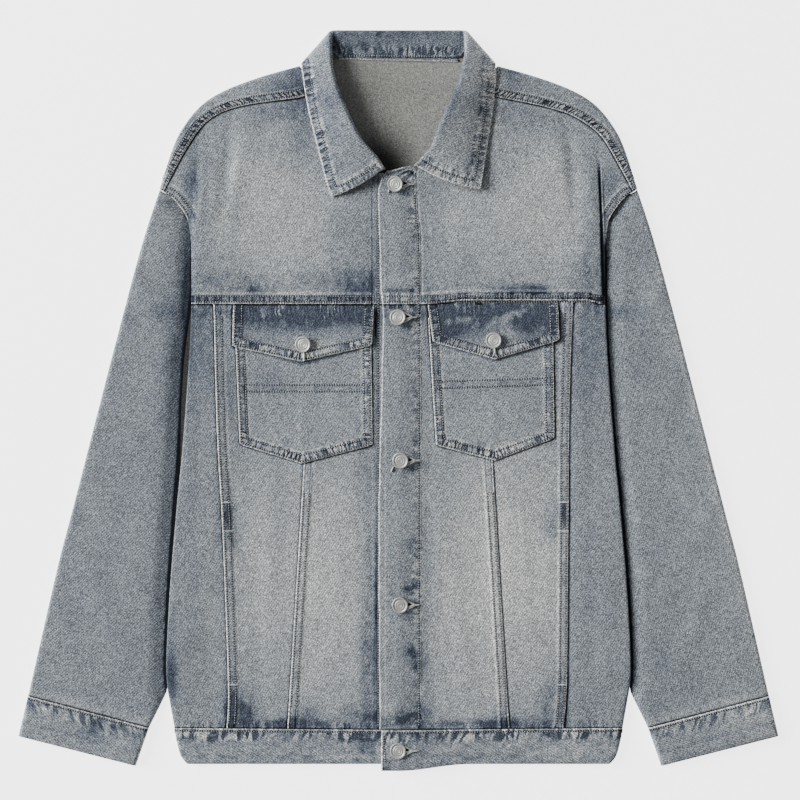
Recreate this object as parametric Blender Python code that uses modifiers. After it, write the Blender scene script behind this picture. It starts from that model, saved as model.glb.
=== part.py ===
"""Denim trucker jacket, buttoned up and laid flat with its front up.

Frame: +X to the wearer's left, +Y to the collar, +Z up out of the front. The back rests on
Z = 0, and the origin is the middle of the outline. The tables are in millimetres, as a pattern
cutter's are, and MM turns them into Blender's metres where a mesh is made. Their x is the
distance from the middle line, so one table serves both sides wherever the sides match.
"""

import math

import bmesh
import bpy
from mathutils import Vector

MM = 0.001

# Cloth, mm
CLOTH = 1.2  # one layer of denim
DOUBLE = 2.2  # two layers with their turnings: waistband, cuffs, placket and collar
FLAP = 2.0
SEAM = 0.4  # open gap between neighbouring pieces
SLEEVE_GAP = 1.2  # and between the back and the curved end of a sleeve
BAND = 0.6  # how far a lapped, twice stitched edge stands up
BAND_WIDTH = 9.5

# Heights of outer faces above the floor, mm
FRONT_TOP = 6.2
SLEEVE_TOP = 6.2
SLEEVE_UNDER = 5.0  # where the body's side lies on the sleeve
EDGE_UNDER = 5.4  # underside of the body's folded side there
SIDE_RISE = 2.1  # how much the sleeve lifts the front
SHOULDER_TOP = 6.3
WAIST_TOP = 6.6
WAIST_LAP_TOP = 9.1
STAND_TOP = 6.2
PLACKET_TOP = 8.9
PLACKET_EDGE_TOP = 7.2
CUFF_TOP = 7.4
NECK_RAISE = 3.2  # the back yoke rests on the collar's fall
POUCH_GAP = 0.4  # between a pocket's layers
POUCH_HEIGHT = POUCH_GAP + CLOTH  # a pouch above the front
FLAP_HEIGHT = POUCH_HEIGHT + POUCH_GAP + FLAP  # and its flap
BUTTON_GAP = 0.3

# Seam levels, mm
CHEST_Y = 96.0
YOKE_BACK_Y = 150.0
HEM_Y = -328.0
HEM_SAG = 2.0
WAIST_BOTTOM_Y = -364.0
FRONT_DROOP = 6.5  # the lapped end of the waistband hangs lower
FLAT_EDGE_Y = -304.0  # below this the body's folded side lies on the floor
POUCH_FOOT = (-75.0, -62.0)  # where a lapped edge flattens to pass under the pouch

# The body's side comes down from the sleeve to the floor on a ramp under the jacket.
UNDER_LAP = 1.0
EDGE_RAMP = 15.0
FOLD_SHARE = 0.6  # the most of the shoulder strip's width that its fold may take
PLACKET_STEP = (13.5, 21.0)  # x where the placket comes down off the button stand
PLACKET_PEAK_X = 11.5
WRAP_START = 14.0  # x of the waistband's under end

# Outlines: x from the middle line, y; in mm.
SHOULDER = ((99.3, 334.6), (137, 324), (172, 311), (196, 296.5), (213, 277), (225.5, 254), (239.3, 211.3))
SHOULDER_SEAM = ((79.5, 309.5), (98, 302.5), (121, 297.5), (150, 291), (175, 282.5), (200, 265),
                 (216, 242), (234.5, 208))
ARMHOLE = ((234.5, 208), (226, 202), (217.5, 192), (211.5, 182), (208.8, 171), (207.4, 158),
           (207, 134), (207, 96))
SLEEVE_END = ((239, 211), (226, 202), (217.5, 192), (211.5, 182), (205, 172.5), (197, 156),
              (188, 133), (179, 110))
BODY_EDGE = ((203, 250), (206, 182), (207, 134), (207, 96), (209, 47), (213, -10), (217, -60),
             (221.5, -105), (228, -182), (232, -254), (231.5, -285), (229, -303), (224.5, -328))
SLEEVE_OUTER = ((239, 211), (256, 159), (279, 74), (324, -100), (340, -161), (358, -239), (371, -296))
SLEEVE_INNER = ((179, 110), (187, 0), (203, -130), (214, -210), (222, -243), (233.2, -271),
                (236, -292), (240, -306), (249.7, -328))
CUFF_EDGE = ((380.5, -336), (262.8, -366))
V_SEAM = ((85.5, 96), (94.5, -62), (111, -328))
SIDE_SEAM = {
    "left": ((174.5, 96), (171.2, 0), (170, -130), (168.8, -276), (165, -328)),
    "right": ((184.8, 96), (181.5, -30), (176, -131), (170.5, -284), (172, -328)),
}
NECK_SEAM = ((22.6, 228), (33, 243), (46, 262), (58, 282), (69, 300), (79.5, 309.5))
YOKE_NECK = ((96, 329), (88, 325.5), (81, 329), (74, 338), (62, 342), (0, 342))
PLACKET_LEFT = ((-20.5, 211), (-18, 120), (-15.7, 83), (-17.2, 0), (-19.9, -115), (-18.9, -330))
PLACKET_RIGHT = ((17.5, 229), (20, 181), (22.9, 120), (23.5, -330))
STAND_EDGE = -22.2
WAIST_HALF = ((224.5, -328), (222.6, -340), (218.2, -356), (212, -364))

# Pocket flap and pouch corners, signed x, y: outer top, outer foot, tip, inner foot, inner top.
FLAP_CORNERS = {
    "left": ((159.2, 95.4), (160.7, 59.5), (96.4, 40.4), (34.4, 58), (29.1, 95.4)),
    "right": ((-164.9, 95.4), (-165.7, 53.4), (-96.8, 38.1), (-26.4, 54.2), (-24.1, 95.4)),
}
POUCH_CORNERS = {
    "left": ((154.3, 82), (156.1, -38.4), (96.4, -60.6), (37.5, -45.3), (29.5, 82)),
    "right": ((-163.8, 82), (-158.8, -44.5), (-96.8, -63.7), (-25.6, -45.3), (-27.5, 82)),
}

# Collar stations from the front edge to the middle of the back: the roll line's point, the
# fall's outer edge, the way the fold faces (90 up, 0 outwards, -90 down), how far the leaf
# bows, and the neck seam under it. Columns: roll x, y, z; edge x, y, z; turn; bow; neck x, y, z.
COLLAR_BACK = (
    (65.8, 346.0, 13.5, 97.0, 332.5, 9.9, 65, 0.0, 74.0, 334.0, 7.4),
    (65.8, 359.0, 10.0, 97.2, 336.0, 8.2, 35, 0.0, 70.5, 347.0, 6.3),
    (65.5, 367.5, 5.5, 96.0, 337.5, 5.0, 0, 0.0, 68.5, 352.0, 5.2),
    (62.0, 370.2, 3.9, 91.5, 334.0, 1.0, -50, 0.0, 62.5, 344.5, 4.9),
    (54.0, 370.3, 3.4, 84.0, 327.5, 0.0, -90, 0.0, 54.0, 342.6, 4.4),
    (30.0, 370.3, 3.4, 50.0, 325.0, 0.0, -90, 0.0, 30.0, 342.6, 4.4),
    (0.0, 370.3, 3.4, 0.0, 325.0, 0.0, -90, 0.0, 0.0, 342.6, 4.4),
)
COLLAR_FRONT = {
    "left": (
        (14.7, 233.5, 12.5, 82.5, 209.8, 10.2, 90, 4.0, 22.5, 230.0, 6.9),
        (24.0, 243.0, 14.0, 84.0, 222.0, 9.7, 90, 2.0, 31.0, 241.0, 6.9),
        (32.5, 253.0, 16.0, 86.5, 237.0, 9.4, 90, 0.5, 42.0, 257.0, 6.9),
        (38.5, 269.0, 17.5, 89.5, 257.0, 9.3, 90, 0.0, 51.0, 272.0, 6.9),
        (48.5, 292.0, 18.0, 93.8, 284.0, 9.3, 90, 0.0, 63.5, 293.0, 6.9),
        (57.5, 312.0, 17.5, 96.0, 303.0, 9.6, 90, 0.0, 73.0, 306.0, 7.2),
        (62.5, 331.0, 16.0, 97.3, 321.0, 10.0, 85, 0.0, 78.0, 319.0, 7.6),
    ),
    "right": (
        (13.0, 230.5, 12.5, 66.5, 202.8, 10.2, 90, 3.0, 22.5, 230.0, 6.9),
        (20.5, 242.0, 14.0, 71.5, 216.0, 9.7, 90, 1.5, 31.0, 241.0, 6.9),
        (33.0, 256.0, 16.0, 76.0, 232.0, 9.4, 90, 0.5, 42.0, 257.0, 6.9),
        (43.5, 273.0, 17.5, 82.0, 256.0, 9.3, 90, 0.0, 53.5, 275.0, 6.9),
        (54.0, 297.0, 18.0, 89.0, 284.0, 9.3, 90, 0.0, 65.5, 296.0, 6.9),
        (60.3, 312.7, 17.5, 92.7, 303.0, 9.6, 90, 0.0, 74.0, 307.5, 7.2),
        (65.0, 331.0, 16.0, 95.5, 321.0, 10.0, 85, 0.0, 78.5, 319.0, 7.6),
    ),
}
ROLL_RADIUS = 3.4

# Soft folds of the upper side. Columns: x, y, run in degrees, half length, half width, height.
FOLDS = (
    (-262, 118, -62, 60, 9, 0.9), (-286, 20, -70, 70, 11, 0.7), (-318, -110, -58, 60, 10, -0.7),
    (-296, -205, -68, 70, 12, 0.8), (262, 112, 64, 55, 9, 0.8), (290, 6, 72, 75, 11, -0.7),
    (322, -96, 60, 60, 10, 0.8), (300, -214, 70, 60, 11, 0.7), (-140, 228, -38, 50, 12, 0.6),
    (128, 204, 40, 55, 12, 0.6), (-62, -190, 84, 90, 9, 0.6), (62, -232, -82, 80, 9, 0.6),
    (140, -150, 86, 90, 9, -0.5), (-142, -220, -86, 80, 9, -0.5),
)

# Buttons, mm: x, y of the front row, and of the pockets.
FRONT_BUTTONS = ((-3.4, 215.5), (-0.8, 82.5), (1.9, -60.6), (1.5, -204.9), (-0.5, -350.2))
POCKET_BUTTONS = {"left": (94.9, 59.5), "right": (-95.3, 55.4)}
BUTTON_PROFILE = (  # radius, height above the cloth: down the outer side from the top
    (0.0, 3.9), (2.6, 4.0), (3.6, 3.5), (5.0, 3.6), (6.6, 4.3), (8.0, 3.8), (8.5, 3.1), (7.8, 2.5),
    (3.0, 2.2), (2.8, 0.0), (0.0, 0.0),
)
BUTTON_STEPS = 14

# Finishes: sRGB colour, roughness, metallic
WASHED = ("#8E979E", 0.9, 0.0)
DARK = ("#5D6977", 0.9, 0.0)
METAL = ("#C3C5C3", 0.35, 1.0)

SIDES = {"left": 1, "right": -1}


# ---- Lines and surfaces ----

def smoothstep(low, high, value):
    share = min(1.0, max(0.0, (value - low) / (high - low)))
    return share * share * (3 - 2 * share)


def smooth(table, steps=6):
    """Points of a smooth curve that runs through a table's points."""
    ends = [Vector(p) for p in (table[0], *table, table[-1])]
    curve = []
    for a, b, c, d in zip(ends, ends[1:], ends[2:], ends[3:]):
        for t in (step / steps for step in range(steps)):
            square, cube = t * t, t * t * t
            curve.append(0.5 * (2 * b + (c - a) * t + (2 * a - 5 * b + 4 * c - d) * square
                                + (3 * b - a - 3 * c + d) * cube))
    return curve + [ends[-1]]


def along(curve, share):
    """The point at a share of a curve's length."""
    lengths = [(b - a).length for a, b in zip(curve, curve[1:])]
    left = min(1.0, max(0.0, share)) * sum(lengths)
    for a, b, length in zip(curve, curve[1:], lengths):
        if left <= length:
            return a.lerp(b, left / length)
        left -= length
    return curve[-1].copy()


def x_at(curve, y):
    """Where a curve that runs down the garment passes a height."""
    for a, b in zip(curve, curve[1:]):
        if b.y <= y <= a.y and a.y > b.y:
            return a.lerp(b, (a.y - y) / (a.y - b.y)).x
    return curve[0].x if y > curve[0].y else curve[-1].x


shoulder, shoulder_seam = smooth(SHOULDER), smooth(SHOULDER_SEAM)
armhole, sleeve_end, body_edge = smooth(ARMHOLE), smooth(SLEEVE_END), smooth(BODY_EDGE)
sleeve_outer, sleeve_inner = smooth(SLEEVE_OUTER), smooth(SLEEVE_INNER)
v_seam, neck_seam, yoke_neck = smooth(V_SEAM), smooth(NECK_SEAM), smooth(YOKE_NECK)
side_seam = {side: smooth(table) for side, table in SIDE_SEAM.items()}
placket_left, placket_right = smooth(PLACKET_LEFT), smooth(PLACKET_RIGHT)
waist_half = smooth(WAIST_HALF)
sleeve_edge = sleeve_end[:-1] + sleeve_inner


def lift(y):
    """How much of the sleeve's height the body's side has to clear."""
    return smoothstep(-300, -270, y)


def ramp_line(y):
    """Where the body's side has come up on to the sleeve."""
    return min(x_at(sleeve_edge, y), x_at(body_edge, y) - 6)


def folds(x, y):
    """Height of the soft folds at a place on the upper side."""
    height = 0.0
    for fold_x, fold_y, run, length, width, tall in FOLDS:
        cos, sin = math.cos(math.radians(run)), math.sin(math.radians(run))
        on = ((x - fold_x) * cos + (y - fold_y) * sin) / length
        off = ((y - fold_y) * cos - (x - fold_x) * sin) / width
        height += tall * math.exp(-on * on - off * off)
    return height


def front_top(x, y):
    """Height of the front's outer face."""
    up = lift(y) * (1 - smoothstep(186, 250, y)) * smoothstep(-45, -2, abs(x) - ramp_line(y))
    return FRONT_TOP + SIDE_RISE * up + folds(x, y)


def curl(share):
    """A quarter round from 0 at an edge to 1."""
    return math.sqrt(1 - (1 - min(1.0, max(0.0, share))) ** 2)


def yoke_top(x, y):
    """Height of a front yoke, which curls down along the body's folded side."""
    low = FRONT_TOP + 0.5 * (1 - smoothstep(188, 206, y))
    band = BAND * (1 - smoothstep(BAND_WIDTH, BAND_WIDTH + 2, y - CHEST_Y))
    return low + (front_top(x, y) - low) * curl((x_at(body_edge, y) - abs(x)) / 4) + band


def sleeve_top(x, y):
    """Height of a sleeve's upper side: low under the body's edge, then full."""
    cover = sleeve_end if y > SLEEVE_END[3][1] else body_edge
    out = abs(x) - x_at(cover, y)
    return SLEEVE_UNDER + (SLEEVE_TOP - SLEEVE_UNDER) * smoothstep(0, 22, out) + \
        folds(x, y) * smoothstep(8, 40, out)


def hem(x):
    """Height of the waistband's seam, which sags a little to the middle."""
    return HEM_Y - HEM_SAG * (1 - min(1.0, abs(x) / WAIST_HALF[0][0]))


# ---- Making meshes ----

def finish(piece, look):
    """Link an object and give it a material of its own."""
    colour, roughness, metallic = look
    material = bpy.data.materials.new(f"{piece.name} finish")
    material.use_nodes = True
    shader = material.node_tree.nodes["Principled BSDF"]
    channels = (int(colour[i:i + 2], 16) / 255 for i in (1, 3, 5))
    linear = [c / 12.92 if c <= 0.04045 else ((c + 0.055) / 1.055) ** 2.4 for c in channels]
    shader.inputs["Base Color"].default_value = (*linear, 1.0)
    shader.inputs["Roughness"].default_value = roughness
    shader.inputs["Metallic"].default_value = metallic
    piece.data.materials.append(material)
    jacket.objects.link(piece)
    return piece


def grid(mesh, columns, rows, point):
    """Add a grid whose corners stand where point(column, row) puts them."""
    made = bmesh.ops.create_grid(mesh, x_segments=len(columns) - 1, y_segments=len(rows) - 1, size=0.5)
    for vert in made["verts"]:
        column = columns[round((vert.co.x + 0.5) * (len(columns) - 1))]
        row = rows[round((vert.co.y + 0.5) * (len(rows) - 1))]
        vert.co = Vector(point(column, row)) * MM


def thicken(name, mesh, wall, look, turned, even=True):
    """Make an object of an open sheet, its wall on the inner side."""
    if turned:
        bmesh.ops.reverse_faces(mesh, faces=mesh.faces)
    data = bpy.data.meshes.new(name)
    mesh.to_mesh(data)
    mesh.free()
    piece = finish(bpy.data.objects.new(name, data), look)
    data.shade_smooth()
    shell = piece.modifiers.new("cloth", "SOLIDIFY")
    shell.thickness = wall * MM
    shell.offset = -1.0
    shell.use_even_offset = even
    return piece


def sheet(name, columns, rows, point, wall=CLOTH, look=WASHED, turned=False, closed=False, even=True):
    """A panel of cloth. point gives its outer face; closed joins its first and last columns."""
    mesh = bmesh.new()
    grid(mesh, columns, rows, point)
    if closed:
        bmesh.ops.remove_doubles(mesh, verts=mesh.verts, dist=0.02 * MM)
    return thicken(name, mesh, wall, look, turned, even)


# ---- Body ----

PANEL_ROWS = (95.6, 60, 20, -20, -62, -75, -120, -170, -220, -250, -266, -278, -290, -304, HEM_Y)
SHARES = (0, 0.25, 0.5, 0.75)
LAP = (-BAND_WIDTH - 2, -BAND_WIDTH, 0)  # columns of a lapped edge, from its seam


def lower_panel(name, sign, inner, outer, lapped):
    """One of the panels between the chest seam and the waistband."""
    columns = [(share, 0) for share in SHARES] + ([(1, step) for step in LAP] if lapped else [(1, 0)])

    def point(column, row):
        share, step = column
        start, end = inner(row) + SEAM / 2, outer(row) - SEAM / 2
        reach = start + share * (end - start) + step * (1 if share == 1 else 0)
        x = sign * reach
        y = hem(x) + SEAM if row == HEM_Y else row
        pocket_clear = 1 - smoothstep(*POUCH_FOOT, y)
        band = BAND * pocket_clear * (1 - smoothstep(BAND_WIDTH, BAND_WIDTH + 2, end - reach))
        return x, y, front_top(x, y) + (band if lapped else 0)

    sheet(name, columns, PANEL_ROWS[::-1], point, turned=sign < 0)


def side_panel(name, side):
    """The side panel: it turns under at the body's edge and meets the back panel."""
    sign = SIDES[side]
    top = [("top", share) for share in (0, 0.4, 0.75)]
    turn = [("turn", angle) for angle in (90, 40, 0, -40, -90)]
    under = [("ramp", share) for share in (0, 0.3, 0.65, 1.0)]

    def point(column, row):
        kind, value = column
        edge, ramp = x_at(body_edge, row), ramp_line(row)
        low = EDGE_UNDER * lift(row)
        high = front_top(edge, row) if row > FLAT_EDGE_Y else FRONT_TOP
        half = (high - low) / 2
        if kind == "top":
            start = x_at(side_seam[side], row) + SEAM / 2
            x = start + value * (edge - half - start)
            z = front_top(sign * x, row)
        elif kind == "turn":
            x = edge - half * (1 - math.cos(math.radians(value)))
            z = low + half * (1 + math.sin(math.radians(value)))
        else:
            x = ramp + UNDER_LAP - EDGE_RAMP * value
            z = low * (1 - smoothstep(0, 1, value))
        y = hem(x) + SEAM if row == HEM_Y else row
        return sign * x, y, z

    sheet(name, top + turn + under, PANEL_ROWS[::-1], point, turned=sign < 0)


def front_yoke(name, side, opening):
    """A front yoke, from the chest seam to the shoulder seam and from the opening to the armhole."""
    sign = SIDES[side]
    rows = (0, 0.054, 0.067, 0.16, 0.26, 0.36, 0.44, 0.5, 0.57, 0.66, 0.75, 0.84, 0.92, 1)
    columns = (0, 0.16, 0.32, 0.48, 0.62, 0.74, 0.84, 0.91, 0.95, 0.975, 0.99, 1)
    foot = CHEST_Y + SEAM
    corner = Vector((opening(228), 228))
    arm = armhole[::-1]

    def inner(share):
        if share <= 0.5:
            y = foot + 2 * share * (corner.y - foot)
            return Vector((opening(y), y))
        at = along(neck_seam, 2 * share - 1)
        return at + (corner - neck_seam[0]) * (2 - 2 * share)

    def outer(share):
        if share <= 0.5:
            y = foot + 2 * share * (ARMHOLE[3][1] - foot)
            return Vector((x_at(armhole, y), y))
        arm_share = 1 - share_of(armhole, ARMHOLE[3][1]) * (2 - 2 * share)
        return along(arm, arm_share) + Vector((-0.2, 0.1))

    def point(u, v):
        bottom = Vector((inner(0).x + u * (outer(0).x - inner(0).x), foot))
        top = along(shoulder_seam, u)
        ruled = inner(v) * (1 - u) + outer(v) * u + bottom * (1 - v) + top * v
        corners = (inner(0) * (1 - u) + outer(0) * u) * (1 - v) + (inner(1) * (1 - u) + outer(1) * u) * v
        x, y = ruled - corners
        return sign * x, y, yoke_top(sign * x, y)

    sheet(name, columns, rows, point, turned=sign < 0)


def share_of(curve, y):
    """The share of a falling curve's length that lies above a height."""
    upper = [p for p in curve if p.y >= y]
    whole = sum((b - a).length for a, b in zip(curve, curve[1:]))
    return sum((b - a).length for a, b in zip(upper, upper[1:])) / whole


def back_panel():
    """The back below its yoke, flat on the floor."""
    rows = (YOKE_BACK_Y - SEAM, 130, 112, 98) + PANEL_ROWS

    def point(share, row):
        below = ramp_line(row) + UNDER_LAP - EDGE_RAMP - SEAM
        half = x_at(sleeve_end, row) - SLEEVE_GAP if row > CHEST_Y else below
        x = share * half
        return x, hem(x) + SEAM if row == HEM_Y else row, 0.0

    sheet("back_panel", (-1, -0.5, 0, 0.5, 1), rows[::-1], point, turned=True)


def back_yoke():
    """The back yoke, which wraps forward over the shoulders to the shoulder seams."""
    shares = (1, 0.91, 0.84, 0.74, 0.62, 0.48, 0.32, 0.16, 0)
    neck_shares = (0.12, 0.24, 0.38, 0.56, 0.8)
    half_turn = SHOULDER_TOP / 2
    foot = YOKE_BACK_Y + SEAM
    side_foot = x_at(sleeve_end, foot) - SLEEVE_GAP

    def wrap(share):
        """Outline, seam and fold radius at a share of the shoulder."""
        edge, seam = along(shoulder, share), along(shoulder_seam, share)
        return edge, (seam - edge).normalized(), (seam - edge).length - SEAM

    def lay(sign, share, angle):
        edge, inward, reach = wrap(share)
        turn = min(half_turn, FOLD_SHARE * reach)
        at = edge + inward * turn * (1 - math.cos(math.radians(angle)))
        return sign * at.x, at.y, half_turn * (1 + math.sin(math.radians(angle)))

    def top_of(column):
        kind, share = column
        if kind == "neck":
            at = along(yoke_neck, abs(share))
            return Vector((math.copysign(at.x, share), at.y, 0))
        return Vector(lay(kind, share, -90))

    def main(column, share):
        top = top_of(column)
        widest = abs(top_of((1, 1)).x)
        start = Vector((side_foot * top.x / widest, foot))
        x, y = start.lerp(top.xy, share)
        side_y = foot + share * (top_of((1, 1)).y - foot)
        straight = side_foot + share * (widest - side_foot)
        hollow = (x_at(sleeve_end, side_y) - SLEEVE_GAP - straight) * (abs(top.x) / widest) ** 6
        x += hollow * math.copysign(1, x) if share < 1 else 0
        raised = smoothstep(306, 320, y) * (1 - smoothstep(84, 92, abs(x)))
        return x, y, NECK_RAISE * raised

    columns = [(-1, share) for share in shares] + [("neck", -share) for share in neck_shares]
    columns += [("neck", 1.0)] + [("neck", share) for share in neck_shares[::-1]]
    columns += [(1, share) for share in shares[::-1]]
    mesh = bmesh.new()
    grid(mesh, columns, (0, 0.12, 0.25, 0.4, 0.55, 0.7, 0.81, 0.87, 0.91, 0.96, 1), main)
    bmesh.ops.reverse_faces(mesh, faces=mesh.faces)
    for sign in SIDES.values():
        def strip(column, row, sign=sign):
            if isinstance(row, tuple):
                edge, inward, reach = wrap(column)
                start = min(half_turn, FOLD_SHARE * reach)
                at = edge + inward * (start + row[0] * (reach - start))
                return sign * at.x, at.y, SHOULDER_TOP + row[1]
            return lay(sign, column, row)

        piece = bmesh.new()
        seam_rows = ((0.5, 0.0), (0.62, BAND), (1.0, BAND))
        grid(piece, shares, (-90, -45, 0, 45, 90, *seam_rows), strip)
        if sign < 0:
            bmesh.ops.reverse_faces(piece, faces=piece.faces)
        data = bpy.data.meshes.new("strip")
        piece.to_mesh(data)
        piece.free()
        mesh.from_mesh(data)
        bpy.data.meshes.remove(data)
    bmesh.ops.remove_doubles(mesh, verts=mesh.verts, dist=0.02 * MM)
    thicken("back_yoke", mesh, CLOTH, WASHED, False)


def body():
    for side, sign in SIDES.items():
        opening = (lambda y: x_at(placket_right, y) + 2 * SEAM) if side == "left" else \
            (lambda y: SEAM - STAND_EDGE)
        front_yoke(f"front_yoke_{side}", side, opening)
        lower_panel(f"front_centre_{side}", sign, opening, lambda y: x_at(v_seam, y), True)
        lower_panel(f"front_mid_{side}", sign, lambda y: x_at(v_seam, y),
                    lambda y, side=side: x_at(side_seam[side], y), True)
        side_panel(f"front_side_{side}", side)
    back_panel()
    back_yoke()


# ---- Front opening and waistband ----

def opening_strips():
    """The button stand under the opening and the buttonhole placket over it."""
    sheet("button_stand", (STAND_EDGE, -8, 3, 14), (HEM_Y + SEAM - 2, -200, -60, 60, 150, 226),
          lambda x, y: (x, y, STAND_TOP), look=DARK)
    rows = (HEM_Y - 1.6, -280, -230, -180, -130, -80, -30, 20, 70, 120, 165, 211, 222, 229)
    columns = (0, 0.2, 0.4, 0.6, *PLACKET_STEP, 1)
    corner = {211: -20.5, 222: -17.0, 229: -11.5}  # its rounded top, y: x

    def point(column, row):
        left, right = corner.get(row, x_at(placket_left, row)), x_at(placket_right, row)
        x = column if column > 1 else left + column * (right - left)
        x = min(x, right - 0.5) if column != 1 else right
        peak = 4.5 * smoothstep(left, PLACKET_PEAK_X, x) - 2 * smoothstep(PLACKET_PEAK_X, right, x)
        rise = peak if row == rows[-1] else 0
        slope = smoothstep(*PLACKET_STEP, x)
        return x, row + rise, PLACKET_TOP + (PLACKET_EDGE_TOP - PLACKET_TOP) * slope

    sheet("placket", columns, rows, point, wall=DOUBLE)


def waistband():
    """One strip round the hem. Its left end laps over its right end at the button."""
    half = WAIST_TOP / 2
    turn = (90, 45, 0, -45, -90)
    columns = [("front", x) for x in (WRAP_START, 2, -18, -50, -85, -120, -155, -190)]
    columns += [("turn", (-1, angle)) for angle in turn]
    columns += [("back", x) for x in (-140, -70, 0, 70, 140)]
    columns += [("turn", (1, angle)) for angle in turn[::-1]]
    columns += [("front", x) for x in (190, 155, 120, 85, 50, 22)]
    columns += [("lap", x) for x in (PLACKET_STEP[0], 0, -16.5)]

    def point(column, row):
        kind, value = column
        y = HEM_Y + row * (WAIST_BOTTOM_Y - HEM_Y)
        width = x_at(waist_half, y)
        droop = 0.0
        if kind == "turn":
            sign, angle = value
            x = sign * (width - half * (1 - math.cos(math.radians(angle))))
            z = half * (1 + math.sin(math.radians(angle)))
        elif kind == "back":
            x, z = value, 0.0
        else:
            x = value * min(1, (width - half) / 216) if abs(value) > 100 else value
            z = WAIST_LAP_TOP if kind == "lap" else WAIST_TOP
            if kind == "lap" or value > WRAP_START:
                droop = FRONT_DROOP * (1 - smoothstep(0, 70, x))
        return x, y - row * droop + (hem(x) - HEM_Y) * (1 - row), z

    sheet("waistband", columns, (1, 0.9, 0.78, 0.5, 0.25, 0), point, wall=DOUBLE, turned=True)


# ---- Pockets ----

def leaf(name, corners, wall, columns, rows, height, look):
    """A pocket piece with a straight top and a pointed foot."""
    outer_top, outer_foot, tip, inner_foot, inner_top = (Vector(corner) for corner in corners)

    def point(u, v):
        top = outer_top.lerp(inner_top, u)
        foot = outer_foot.lerp(tip, 2 * u) if u <= 0.5 else tip.lerp(inner_foot, 2 * u - 1)
        x, y = top.lerp(foot, v)
        return x, y, front_top(x, y) + height(x, y)

    sheet(name, columns, rows, point, wall=wall, look=look, turned=outer_top.x < 0)


def flap_height(_x, y):
    """The flap leaves its seam on the panel and then lies on the pouch."""
    return POUCH_GAP + FLAP + (FLAP_HEIGHT - POUCH_GAP - FLAP) * (1 - smoothstep(85, 94, y))


def pockets():
    across = (0, 0.13, 0.26, 0.38, 0.5, 0.62, 0.74, 0.87, 1)
    for side in SIDES:
        leaf(f"pocket_{side}", POUCH_CORNERS[side], CLOTH, across, (0, 0.2, 0.4, 0.6, 0.8, 1),
             lambda x, y: POUCH_HEIGHT, WASHED)
        leaf(f"pocket_flap_{side}", FLAP_CORNERS[side], FLAP, across, (0, 0.22, 0.45, 0.75, 1),
             flap_height, DARK)


# ---- Sleeves ----

RING = ([("inner", -90)] + [("bottom", share) for share in (0.2, 0.4, 0.6, 0.8)]
        + [("outer", angle) for angle in (-90, -45, 0, 45, 90)]
        + [("top", share) for share in (0.84, 0.68, 0.52, 0.36, 0.2)]
        + [("inner", angle) for angle in (90, 45, 0, -45, -90)])


def tube(name, sign, rows, inner, outer, bend, top, wall):
    """A flattened tube between two lines, from one end to the other."""
    def point(column, row):
        kind, value = column
        a, b = inner(row), outer(row)
        width = (b - a).length

        def place(share):
            at = a.lerp(b, share) + bend(share) * (1 - row)
            return at, top(sign * at.x, at.y)

        if kind in ("top", "bottom"):
            at, high = place(value)
            return sign * at.x, at.y, high if kind == "top" else 0.0
        end = 0 if kind == "inner" else 1
        high = place(end)[1]
        step = high / 2 * (1 - math.cos(math.radians(value))) / width
        at = place(abs(end - step))[0]
        return sign * at.x, at.y, high / 2 * (1 + math.sin(math.radians(value)))

    sheet(name, RING, rows, point, wall=wall, turned=sign < 0, closed=True)


def sleeves():
    armhole_line = sleeve_end[::-1]
    low, high = armhole_line[0], armhole_line[-1]
    start = Vector((0.25, -0.5))

    def bend(share):
        return along(armhole_line, share) - low.lerp(high, share) + start

    rows = (0, 0.06, 0.13, 0.2, 0.28, 0.36, 0.45, 0.54, 0.63, 0.72, 0.79, 0.84, 0.88, 0.92, 0.96, 1)
    cuff_outer, cuff_inner = (Vector(p) for p in CUFF_EDGE)
    ends = [(b - a).normalized() * SEAM for a, b in
            ((sleeve_inner[-1], cuff_inner), (sleeve_outer[-1], cuff_outer))]
    for side, sign in SIDES.items():
        tube(f"sleeve_{side}", sign, rows, lambda v: along(sleeve_inner, v),
             lambda v: along(sleeve_outer, v), bend, sleeve_top, CLOTH)
        tube(f"cuff_{side}", sign, (0, 0.3, 0.7, 1),
             lambda v: (sleeve_inner[-1] + ends[0]).lerp(cuff_inner, v),
             lambda v: (sleeve_outer[-1] + ends[1]).lerp(cuff_outer, v),
             lambda share: Vector((0, 0)), lambda x, y: CUFF_TOP, DOUBLE)


# ---- Collar ----

def collar_stations():
    """All stations from the right front edge round the back to the left front edge."""
    right = [(-1, row) for row in COLLAR_FRONT["right"] + COLLAR_BACK]
    left = [(1, row) for row in COLLAR_FRONT["left"] + COLLAR_BACK[:-1]]
    return right + left[::-1]


def collar_frame(row):
    """Middle of the roll, the way to the fall's edge and the way the fold faces."""
    roll, edge = Vector(row[0:3]), Vector(row[3:6])
    fall = (edge - roll).xy.normalized().to_3d()
    out = Vector((-fall.y, fall.x, 0))
    turn = math.radians(row[6])
    face = out * math.cos(turn) + Vector((0, 0, math.sin(turn)))
    return roll + fall * ROLL_RADIUS, edge, fall, face


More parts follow.
